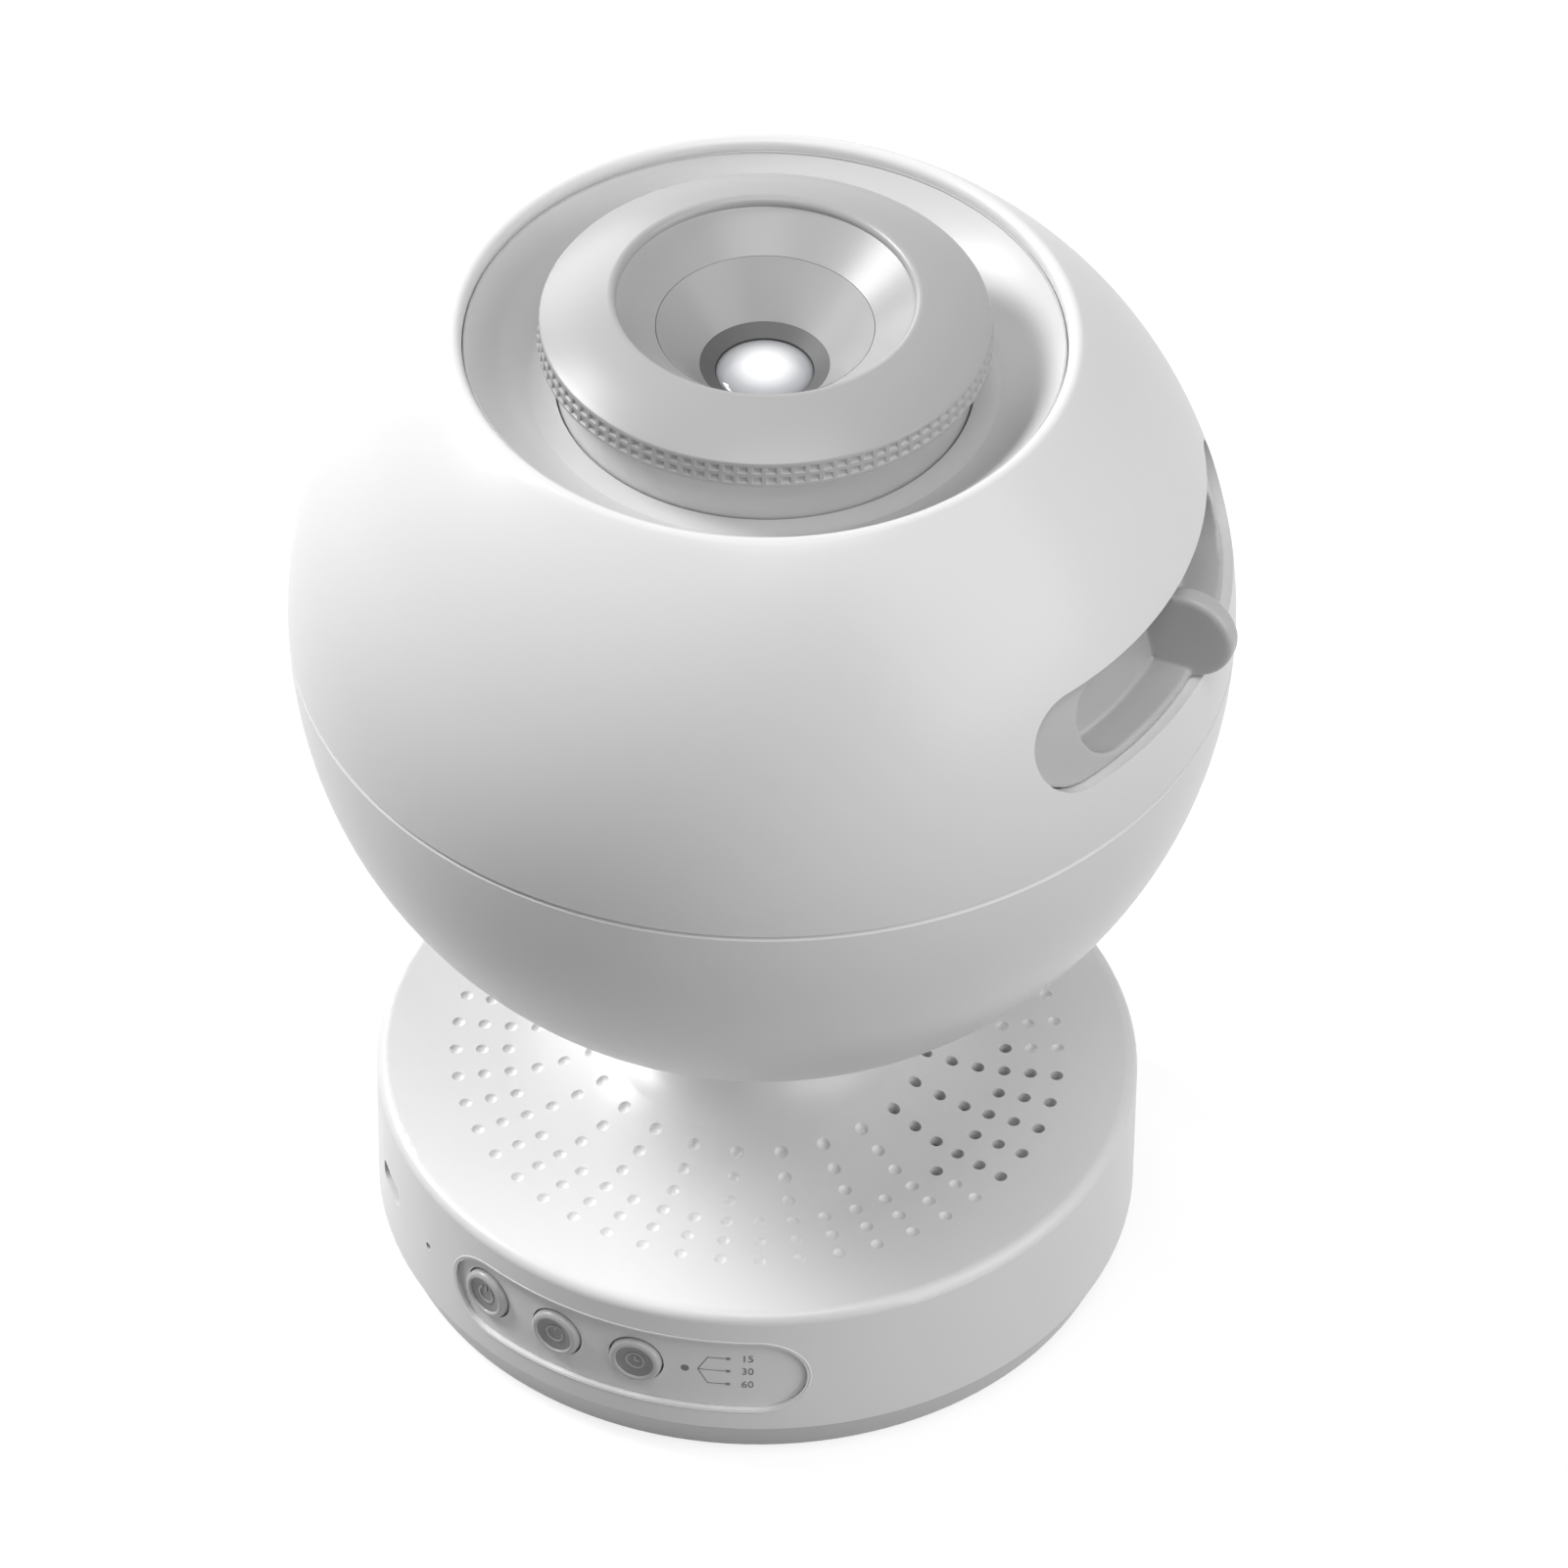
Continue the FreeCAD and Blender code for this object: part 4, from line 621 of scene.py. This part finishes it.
# %% Dish
DISH_GAP = 0.15 * MM
DISH_FLOOR_RADIUS = 37.5 * MM
DISH_FLOOR_Z = BALL_Z + 48.2 * MM
DISH_SAG = 0.9 * MM
DISH_HOLE = 33.6 * MM
DISH_WALL = 1.8 * MM
DISH_ROUND = 0.35 * MM
DISH_STEPS = 28

dish_edge = RIM_RADIUS - DISH_GAP


def dish_height(share):
    """Height of the dish from its edge, share 0, to its floor, share 1."""
    straight = RIM_Z + (DISH_FLOOR_Z - RIM_Z) * share
    return straight - 4 * DISH_SAG * share * (1 - share)


top_line = []
for step in range(DISH_STEPS + 1):
    share = step / DISH_STEPS
    top_line.append((dish_edge + (DISH_FLOOR_RADIUS - dish_edge) * share, dish_height(share)))
dish_outline = [(dish_edge, RIM_Z - RIM_DEPTH)]
dish_outline += bend((dish_edge - DISH_ROUND, RIM_Z - DISH_ROUND), DISH_ROUND, 0.0, 90.0, 5)
dish_outline += top_line[1:] + [(DISH_HOLE, DISH_FLOOR_Z), (DISH_HOLE, DISH_FLOOR_Z - DISH_WALL)]
dish_outline += [(DISH_FLOOR_RADIUS, DISH_FLOOR_Z - DISH_WALL), (dish_edge - DISH_WALL, RIM_Z - RIM_DEPTH)]
dish = turned("dish", dish_outline, 192)
smooth(dish, 35.0)
dress(dish, "dish", "head", "dish_insert")

# %% [markdown]
# ## Focus ring
# The focus ring is turned by its edge, where two rows of a hundred small dimples give grip. Outside it
# slopes up to a smooth lip, and inside it falls away as a funnel. The ring is grown with a hundred sides,
# so each face of the two rows becomes one dimple: all are inset and pushed in at once, each on its own.

# %% Focus ring
RING_RADIUS = 36.4 * MM
RING_TOP_RADIUS = 36.0 * MM
RING_TOP_Z = BALL_Z + 61.8 * MM
RING_FOOT_Z = RING_TOP_Z - 4.6 * MM
LIP_Z = BALL_Z + 66.3 * MM
LIP_RADIUS = 24.8 * MM
LIP_ROUND = 1.1 * MM
BARREL_BORE = 17.5 * MM
BARREL_TOP_Z = BALL_Z + 59.8 * MM
SLEEVE_RADIUS = 33.3 * MM
HUB_WALL = 3.2 * MM
HUB_FOOT_Z = BALL_Z + 50.0 * MM
RING_WALL = 2.2 * MM
RING_EDGE = 0.35 * MM
TOP_SWELL = 0.35 * MM
GRIP_COUNT = 100
GRIP_LINE = 0.03 * MM
DIMPLE_DEPTH = 0.32 * MM
DIMPLE_STEP = 0.22 * MM

row_height = (RING_TOP_Z - RING_FOOT_Z) / 2
ring_outline = [(SLEEVE_RADIUS, RING_FOOT_Z)]
ring_outline += bend((RING_RADIUS - RING_EDGE, RING_FOOT_Z + RING_EDGE), RING_EDGE, -90.0, 0.0, 3)
ring_outline += [(RING_RADIUS - GRIP_LINE, RING_FOOT_Z + RING_EDGE + 0.1 * MM)]
ring_outline += [((RING_RADIUS + RING_TOP_RADIUS) / 2, RING_FOOT_Z + row_height)]
ring_outline += [(RING_TOP_RADIUS + GRIP_LINE, RING_TOP_Z - RING_EDGE - 0.1 * MM)]
ring_outline += bend((RING_TOP_RADIUS - RING_EDGE, RING_TOP_Z - RING_EDGE), RING_EDGE, 0.0, 68.0, 3)
slope_start = ring_outline[-1]
lip_centre = (LIP_RADIUS, LIP_Z - LIP_ROUND)
lip_arc = bend(lip_centre, LIP_ROUND, 68.0, 205.0, 10)
for step in range(1, 8):
    share = step / 8
    swell = TOP_SWELL * math.sin(math.pi * share)
    across = slope_start[0] + (lip_arc[0][0] - slope_start[0]) * share
    ring_outline.append((across, slope_start[1] + (lip_arc[0][1] - slope_start[1]) * share + swell))
ring_outline += lip_arc
hub_radius = BARREL_BORE + HUB_WALL
step_radius = SLEEVE_RADIUS - 1.5 * MM
ring_under_z = RING_FOOT_Z + RING_WALL
ring_outline += [(BARREL_BORE, BARREL_TOP_Z), (BARREL_BORE, HUB_FOOT_Z), (hub_radius, HUB_FOOT_Z)]
ring_outline += [(hub_radius, ring_under_z), (step_radius, ring_under_z), (step_radius, RING_FOOT_Z)]
focus_ring = turned("focus_ring", ring_outline, GRIP_COUNT)
grip_low = RING_FOOT_Z + RING_EDGE
grip_high = RING_TOP_Z - RING_EDGE
pick(focus_ring)
bpy.ops.object.mode_set(mode="EDIT")
shape = bmesh.from_edit_mesh(focus_ring.data)
for face in shape.faces:
    middle = face.calc_center_median()
    outside = math.hypot(middle.x, middle.y) > RING_TOP_RADIUS - 0.3 * MM
    face.select = outside and grip_low < middle.z < grip_high and face.calc_area() > MM * MM
dimple_faces = sum(face.select for face in shape.faces)
bmesh.update_edit_mesh(focus_ring.data)
bpy.ops.mesh.inset(thickness=0.3 * MM, use_individual=True)
for depth_share in (0.7, 0.3):
    bpy.ops.mesh.inset(thickness=DIMPLE_STEP, depth=-DIMPLE_DEPTH * depth_share, use_individual=True)
bpy.ops.object.mode_set(mode="OBJECT")
smooth(focus_ring, 32.0)
print("dimples:", dimple_faces)
dress(focus_ring, "focus", "focus", "focus_ring")

# %% [markdown]
# ## Drawer front
# The front of the film drawer is a piece of the same ball, set back a little, with a finger pocket on
# each side of a round fin. All its edges are moulded soft. Soft edges on such a cut form are hard to
# bevel one by one, so the form is cut sharp, remeshed into small even faces, and smoothed until the edges
# round over.

# %% Drawer front
FRONT_RADIUS = BALL_RADIUS - 1.6 * MM
FRONT_THICK = 8.4 * MM
FRONT_GAP = 0.25 * MM
POCKET_HALF_WIDTH = 30.0 * MM
POCKET_HALF_HEIGHT = 7.0 * MM
POCKET_DEPTH = 6.4 * MM
FIN_RADIUS = 8.0 * MM
FIN_THICK = 3.6 * MM
FIN_ROUND = 0.9 * MM
FIN_PLACE = (73.2 * MM, 0.0, SLOT_Z - 0.6 * MM)
FRONT_START = 20.0 * MM
SMALL_FACE = 0.32 * MM


def round_shell(name, outer, inner, low, high, sides=256):
    """A band of a hollow ball between two heights."""
    low, high = low - BALL_Z, high - BALL_Z
    outline = bend((0.0, BALL_Z), outer, rise_on(outer, low), rise_on(outer, high), 24)
    outline += bend((0.0, BALL_Z), inner, rise_on(inner, high), rise_on(inner, low), 24)
    return turned(name, outline, sides)


band_low = SLOT_Z - SLOT_HALF_HEIGHT - MM
band_high = SLOT_Z + SLOT_HALF_HEIGHT + MM
front_half_width = SLOT_HALF_WIDTH - FRONT_GAP
front_half_height = SLOT_HALF_HEIGHT - FRONT_GAP
front = pill("drawer_front", front_half_width, front_half_height, 45 * MM, TOOL_FAR, SLOT_Z, 90.0)
band = round_shell("band", FRONT_RADIUS, FRONT_RADIUS - FRONT_THICK, band_low, band_high)
use_modifier(front, "BOOLEAN", operation="INTERSECT", solver="EXACT", object=band)
bpy.data.objects.remove(band)
pick(front)
bpy.ops.object.mode_set(mode="EDIT")
bpy.ops.mesh.select_all(action="SELECT")
bpy.ops.mesh.bisect(plane_co=(FRONT_START, 0, 0), plane_no=(1, 0, 0), clear_inner=True)
bpy.ops.object.mode_set(mode="OBJECT")
pocket = pill("pocket", POCKET_HALF_WIDTH, POCKET_HALF_HEIGHT, TOOL_NEAR, TOOL_FAR, SLOT_Z, 90.0)
core = round_shell("core", FRONT_RADIUS - POCKET_DEPTH, TOOL_NEAR, band_low, band_high)
use_modifier(pocket, "BOOLEAN", operation="DIFFERENCE", solver="EXACT", object=core)
bpy.data.objects.remove(core)
cut_away(front, pocket)
pick_nothing()
on_side = (math.pi / 2, 0, 0)
bpy.ops.mesh.primitive_cylinder_add(vertices=96, radius=FIN_RADIUS, depth=FIN_THICK, rotation=on_side)
fin = bpy.context.object
bpy.ops.transform.translate(value=FIN_PLACE)
bpy.ops.object.transform_apply(location=True, rotation=True, scale=True)
use_modifier(fin, "BEVEL", width=FIN_ROUND, segments=4)
fin_foot = FRONT_RADIUS - FRONT_THICK + MM
fin_core = round_shell("fin_core", fin_foot, TOOL_NEAR, BALL_Z - MM, BALL_Z + 34 * MM)
cut_away(fin, fin_core)
use_modifier(front, "BOOLEAN", operation="UNION", solver="EXACT", object=fin)
bpy.data.objects.remove(fin)
use_modifier(front, "REMESH", mode="VOXEL", voxel_size=SMALL_FACE, adaptivity=0.0)
use_modifier(front, "SMOOTH", factor=0.5, iterations=5)
smooth(front, 60.0)
dress(front, "drawer", "tray", "tray_front")

# %% [markdown]
# ## Buttons
# Each button is a round cap with a soft rim and a hollow middle that carries a raised mark. The rim is
# painted lighter, as painted light caught on it, and the middle darker, as painted shade in the hollow.
# The cap is turned upright like the other round forms, then laid on its side and set in the skirt.
# The middle is its own disc in the darker finish.

# %% Button caps
BUTTON_RADIUS = 4.5 * MM
BUTTON_Z = 19.8 * MM
BUTTON_RISE = 1.1 * MM
PANEL_RADIUS = BASE_RADIUS - 0.9 * MM
HOLLOW_RADIUS = 3.3 * MM
CAP_ROUND = 0.85 * MM
HOLLOW_ROUND = 0.3 * MM
MIDDLE_SINK = 0.4 * MM
MIDDLE_SAG = 0.35 * MM
MIDDLE_STEPS = 6
MARK_LOW = BUTTON_RISE - 1.1 * MM
MARK_HIGH = BUTTON_RISE - 0.5 * MM
MARK_EDGE = 0.05 * MM
BUTTON_PLACES = {"power": -23.0, "rotation": -9.75, "timer": 3.5}
# Painted light: the button's rim is lighter for the light it catches; its middle is darker as painted
# shade.
finishes["button_rim"] = plastic("button_rim_painted_light", grey(0.5), SATIN)
finishes["button_mark"] = plastic("pale_button_mark", grey(0.42), SATIN)


def on_skirt(piece, angle):
    """Lays a form built round the upright axis on its side, facing out of the skirt at an angle."""
    lay = Matrix.Rotation(math.pi / 2, 4, "X")
    lift = Matrix.Translation((0, -PANEL_RADIUS, BUTTON_Z))
    piece.data.transform(Matrix.Rotation(math.radians(angle), 4, "Z") @ lift @ lay)
    return piece


def button_cap(name):
    outer_bend = (BUTTON_RADIUS - CAP_ROUND, BUTTON_RISE - CAP_ROUND)
    inner_bend = (HOLLOW_RADIUS + HOLLOW_ROUND, BUTTON_RISE - HOLLOW_ROUND)
    outline = [(HOLLOW_RADIUS, -2.0 * MM), (BUTTON_RADIUS, -2.0 * MM)]
    outline += bend(outer_bend, CAP_ROUND, 0.0, 90.0, 8)
    outline += bend(inner_bend, HOLLOW_ROUND, 90.0, 180.0, 5)
    cap = turned(name + "_cap", outline, 96)
    smooth(cap, 50.0)
    return cap


def button_middle(name):
    pole = 0.1 * MM
    edge_z = BUTTON_RISE - MIDDLE_SINK
    outline = [(pole, -1.5 * MM), (HOLLOW_RADIUS, -1.5 * MM), (HOLLOW_RADIUS, edge_z)]
    for step in range(1, MIDDLE_STEPS + 1):
        share = step / MIDDLE_STEPS
        sag = MIDDLE_SAG * math.sin(share * math.pi / 2)
        outline.append((HOLLOW_RADIUS * (1 - share) + pole, edge_z - sag))
    middle = turned(name + "_middle", outline, 72, poles=True)
    smooth(middle, 40.0)
    return middle


def raised_ring(name, outer, inner):
    shoulder = MARK_HIGH - MARK_EDGE
    outline = [(inner, MARK_LOW), (outer, MARK_LOW), (outer, shoulder), (outer - MARK_EDGE, MARK_HIGH)]
    outline += [(inner + MARK_EDGE, MARK_HIGH), (inner, shoulder)]
    return turned(name, outline, 64)


def raised_bar(name, width, length, x, y, turn=0.0):
    """A bar of a mark, turned about the button's middle after it is set in its place."""
    pick_nothing()
    bpy.ops.mesh.primitive_cube_add(size=1.0)
    bar = bpy.context.object
    bar.name = name
    bpy.ops.transform.resize(value=(width, length, MARK_HIGH - MARK_LOW))
    bpy.ops.object.transform_apply(location=True, rotation=True, scale=True)
    use_modifier(bar, "BEVEL", width=0.06 * MM, segments=2)
    to_place = Matrix.Translation((x, y, (MARK_LOW + MARK_HIGH) / 2))
    bar.data.transform(Matrix.Rotation(math.radians(turn), 4, "Z") @ to_place)
    return bar


def open_ring(ring, start, end):
    """Cuts a wedge out of a ring between two angles, by removing the faces there."""
    pick(ring)
    bpy.ops.object.mode_set(mode="EDIT")
    shape = bmesh.from_edit_mesh(ring.data)
    for face in shape.faces:
        middle = face.calc_center_median()
        around = math.degrees(math.atan2(middle.y, middle.x)) % 360
        face.select = start < around < end
    bmesh.update_edit_mesh(ring.data)
    bpy.ops.mesh.delete(type="FACE")
    bpy.ops.mesh.select_all(action="SELECT")
    bpy.ops.mesh.fill_holes(sides=0)
    bpy.ops.object.mode_set(mode="OBJECT")


# %% Put the buttons together
for name, angle in BUTTON_PLACES.items():
    cap = on_skirt(button_cap(name), angle)
    dress(cap, "button_rim", name, name + "_button", slot="button")
    middle = on_skirt(button_middle(name), angle)
    dress(middle, "button", name)
    ring_mark = raised_ring(name + "_mark_ring", 1.75 * MM, 1.35 * MM)
    if name == "power":
        open_ring(ring_mark, 62.0, 118.0)
        bars = [raised_bar("power_mark_bar", 0.4 * MM, 1.5 * MM, 0.0, 1.25 * MM)]
    elif name == "rotation":
        open_ring(ring_mark, 20.0, 70.0)
        bars = [raised_bar("rotation_mark_head", 0.4 * MM, 1.0 * MM, 1.85 * MM, -0.1 * MM, 70.0)]
        bars.append(raised_bar("rotation_mark_barb", 0.9 * MM, 0.4 * MM, 1.2 * MM, 0.3 * MM, 70.0))
    else:
        bars = [raised_bar("timer_mark_hand", 0.35 * MM, 1.1 * MM, 0.0, 0.45 * MM)]
        bars.append(raised_bar("timer_mark_short_hand", 0.8 * MM, 0.35 * MM, 0.35 * MM, 0.0))
    for mark in [ring_mark] + bars:
        smooth(mark, 40.0)
        dress(on_skirt(mark, angle), "button_mark", name, slot="button")

# %% [markdown]
# ## Marks on the panel
# Right of the buttons the panel shows how long the timer runs: a small light, a fork of three fine lines,
# and a number at the end of each. They are printed, so they are almost flat. Each mark is made on a flat
# sheet and then wrapped round the skirt, which keeps its width true.

# %% Wrap flat marks round the skirt
INK_THICK = 0.06 * MM
LINE_WIDTH = 0.16 * MM
TIP_WIDTH = 0.55 * MM
NUMBER_HEIGHT = 1.5 * MM
LABEL_ANGLE = 20.6
LABELS = {"15": 22.9 * MM, "30": 20.0 * MM, "60": 17.0 * MM}
FORK_START = 13.1
FORK_SPLIT = 14.6
FORK_END = 17.1
finishes["ink"] = plastic("grey_ink", grey(0.2), (0.4, 0.5))


def wrap(piece, radius, angle=0.0):
    """Bends a mark drawn on the XZ plane round the upright axis. Its depth becomes its height."""
    for vertex in piece.data.vertices:
        turn = math.radians(angle) + vertex.co.x / radius
        reach = radius - vertex.co.y
        vertex.co = (reach * math.sin(turn), -reach * math.cos(turn), vertex.co.z)
    return piece


def ink_line(name, start, end, width):
    """A printed line between two places on the panel, each an angle and a height."""
    ax = math.radians(start[0]) * PANEL_RADIUS
    bx = math.radians(end[0]) * PANEL_RADIUS
    length = math.hypot(bx - ax, end[1] - start[1])
    slant = math.atan2(end[1] - start[1], bx - ax)
    pick_nothing()
    bpy.ops.mesh.primitive_cube_add(size=1.0)
    line = bpy.context.object
    line.name = name
    bpy.ops.transform.resize(value=(length + width / 2, 2 * INK_THICK, width))
    bpy.ops.object.transform_apply(location=True, rotation=True, scale=True)
    use_modifier(line, "BEVEL", width=0.02 * MM, segments=1)
    middle = Matrix.Translation(((ax + bx) / 2, 0, (start[1] + end[1]) / 2))
    line.data.transform(middle @ Matrix.Rotation(-slant, 4, "Y"))
    return wrap(line, PANEL_RADIUS)


def printed_number(text, angle, z, height):
    pick_nothing()
    bpy.ops.object.text_add(location=(0, 0, 0))
    label = bpy.context.object
    label.name = "timer_number_" + text
    label.data.body = text
    label.data.size = height * 1.4
    label.data.extrude = INK_THICK
    label.data.align_x = "CENTER"
    label.data.align_y = "CENTER"
    bpy.ops.object.convert(target="MESH")
    label = bpy.context.object
    label.data.transform(Matrix.Translation((0, 0, z)) @ Matrix.Rotation(math.pi / 2, 4, "X"))
    return wrap(label, PANEL_RADIUS, angle)


heights = list(LABELS.values())
fork_root = (FORK_START, heights[1])
marks = [ink_line("timer_fork_stem", fork_root, (FORK_END, heights[1]), LINE_WIDTH)]
for name, side in (("upper", 0), ("lower", 2)):
    bend_point = (FORK_SPLIT, heights[side])
    marks.append(ink_line("timer_fork_" + name, fork_root, bend_point, LINE_WIDTH))
    marks.append(ink_line("timer_fork_" + name + "_end", bend_point, (FORK_END, heights[side]), LINE_WIDTH))
for text, z in LABELS.items():
    marks.append(ink_line("timer_tip_" + text, (FORK_END + 0.3, z), (FORK_END + 0.75, z), TIP_WIDTH))
    marks.append(printed_number(text, LABEL_ANGLE, z, NUMBER_HEIGHT))
for mark in marks:
    dress(mark, "ink", "base", slot="panel")
print("printed marks:", len(marks))

# %% [markdown]
# A fine bead runs round the sunk panel. It catches the light as one bright and one dark line. It is a
# curve with a round section: the closed outline is drawn flat, given its thickness, and wrapped like the
# marks.

# %% Bead round the panel
BEAD_RADIUS = 0.22 * MM
PANEL_Z = 19.45 * MM
PANEL_HALF_WIDTH = 31.9 * MM
PANEL_HALF_HEIGHT = 8.05 * MM
BEAD_SINK = 0.12 * MM
LONG_EDGE = 5.0 * MM

pick_nothing()
bpy.ops.curve.primitive_bezier_circle_add(radius=PANEL_HALF_HEIGHT, rotation=(math.pi / 2, 0, 0))
bead = bpy.context.object
bead.name = "panel_bead"
bead.data.bevel_depth = BEAD_RADIUS
bead.data.bevel_resolution = 3
bead.data.resolution_u = 24
bpy.ops.object.convert(target="MESH")
bead = bpy.context.object
bpy.ops.object.transform_apply(location=True, rotation=True, scale=True)
flat_part = PANEL_HALF_WIDTH - PANEL_HALF_HEIGHT
pick(bead)
bpy.ops.object.mode_set(mode="EDIT")
for side in (-1, 1):
    shape = bmesh.from_edit_mesh(bead.data)
    for vertex in shape.verts:
        vertex.select = vertex.co.x * side > 0.01 * MM
    shape.select_flush(True)
    bmesh.update_edit_mesh(bead.data)
    bpy.ops.transform.translate(value=(side * flat_part, 0, 0))
shape = bmesh.from_edit_mesh(bead.data)
for edge in shape.edges:
    edge.select = abs(edge.verts[0].co.x - edge.verts[1].co.x) > LONG_EDGE
bmesh.update_edit_mesh(bead.data)
bpy.ops.mesh.subdivide(number_cuts=16)
bpy.ops.object.mode_set(mode="OBJECT")
for vertex in bead.data.vertices:
    reach = math.asin(max(-1.0, min(1.0, vertex.co.x / BASE_RADIUS)))
    vertex.co.x = reach * BASE_RADIUS
bead.data.transform(Matrix.Translation((0, 0, PANEL_Z)))
wrap(bead, BASE_RADIUS - BEAD_SINK)
smooth(bead, 60.0)
dress(bead, "white_base", "base")

# %% [markdown]
# ## Lens with a painted glow
# The lamp is on, so the crowned lens at the foot of the funnel is bright, most at its middle. A glass
# shader would need the whole lamp behind it. Here the dome is a plain coated form with a painted glow:
# emission that a mask of the distance from its axis makes fade towards the rim.

# %% Front lens
LENS_RADIUS = 7.93 * MM
LENS_LOW = BALL_Z + 48.6 * MM
LENS_EDGE_Z = BALL_Z + 49.9 * MM
LENS_TOP_Z = BALL_Z + 51.8 * MM
LENS_STEPS = 12
# Painted glow of the lens: place across its radius and brightness, at the middle, halfway and at the rim.
GLOW_MIDDLE = (0.35, 0.85)
GLOW_HALFWAY = (0.72, 0.25)
GLOW_RIM = (0.98, 0.02)


def painted_glow_glass():
    material = bpy.data.materials.new("painted_glow_coated_glass")
    material.use_nodes = True
    tree = material.node_tree
    surface = tree.nodes["Principled BSDF"]
    place = tree.nodes.new("ShaderNodeTexCoord")
    flat = tree.nodes.new("ShaderNodeVectorMath")
    flat.operation = "MULTIPLY"
    flat.inputs[1].default_value = (1.0, 1.0, 0.0)
    reach = tree.nodes.new("ShaderNodeVectorMath")
    reach.operation = "LENGTH"
    tree.links.new(place.outputs["Object"], flat.inputs[0])
    tree.links.new(flat.outputs["Vector"], reach.inputs[0])
    ramp = tree.nodes.new("ShaderNodeValToRGB")
    spread = tree.nodes.new("ShaderNodeMapRange")
    spread.inputs["From Max"].default_value = LENS_RADIUS
    tree.links.new(reach.outputs["Value"], spread.inputs["Value"])
    tree.links.new(spread.outputs["Result"], ramp.inputs["Fac"])
    stops = ramp.color_ramp.elements
    stops[0].position = GLOW_MIDDLE[0]
    stops[0].color = (*grey(GLOW_MIDDLE[1]), 1.0)
    stops[1].position = GLOW_RIM[0]
    stops[1].color = (*grey(GLOW_RIM[1]), 1.0)
    halfway = stops.new(GLOW_HALFWAY[0])
    halfway.color = (*grey(GLOW_HALFWAY[1]), 1.0)
    # The emission is a painted glow on the dome, brightest at its middle.
    tree.links.new(ramp.outputs["Color"], surface.inputs["Emission Color"])
    surface.inputs["Emission Strength"].default_value = 0.9
    dust = noise(tree, 900.0, 3.0)
    tree.links.new(place.outputs["Object"], dust.inputs["Vector"])
    tree.links.new(remap(tree, dust.outputs["Fac"], 0.03, 0.1), surface.inputs["Roughness"])
    surface.inputs["Base Color"].default_value = (0.3, 0.31, 0.33, 1.0)
    surface.inputs["IOR"].default_value = 1.52
    surface.inputs["Coat Weight"].default_value = 0.6
    return material


finishes["painted_glow_glass"] = painted_glow_glass()
lens_outline = [(0.1 * MM, LENS_LOW), (LENS_RADIUS, LENS_LOW), (LENS_RADIUS, LENS_EDGE_Z)]
for step in range(1, LENS_STEPS + 1):
    angle = math.radians(90.0 * step / LENS_STEPS)
    lift = (LENS_TOP_Z - LENS_EDGE_Z) * math.sin(angle)
    lens_outline.append((LENS_RADIUS * math.cos(angle) + 0.05 * MM, LENS_EDGE_Z + lift))
front_lens = turned("front_lens_dome", lens_outline, 96, poles=True)
smooth(front_lens, 50.0)
dress(front_lens, "painted_glow_glass", "lens", "front_lens", slot="glass")
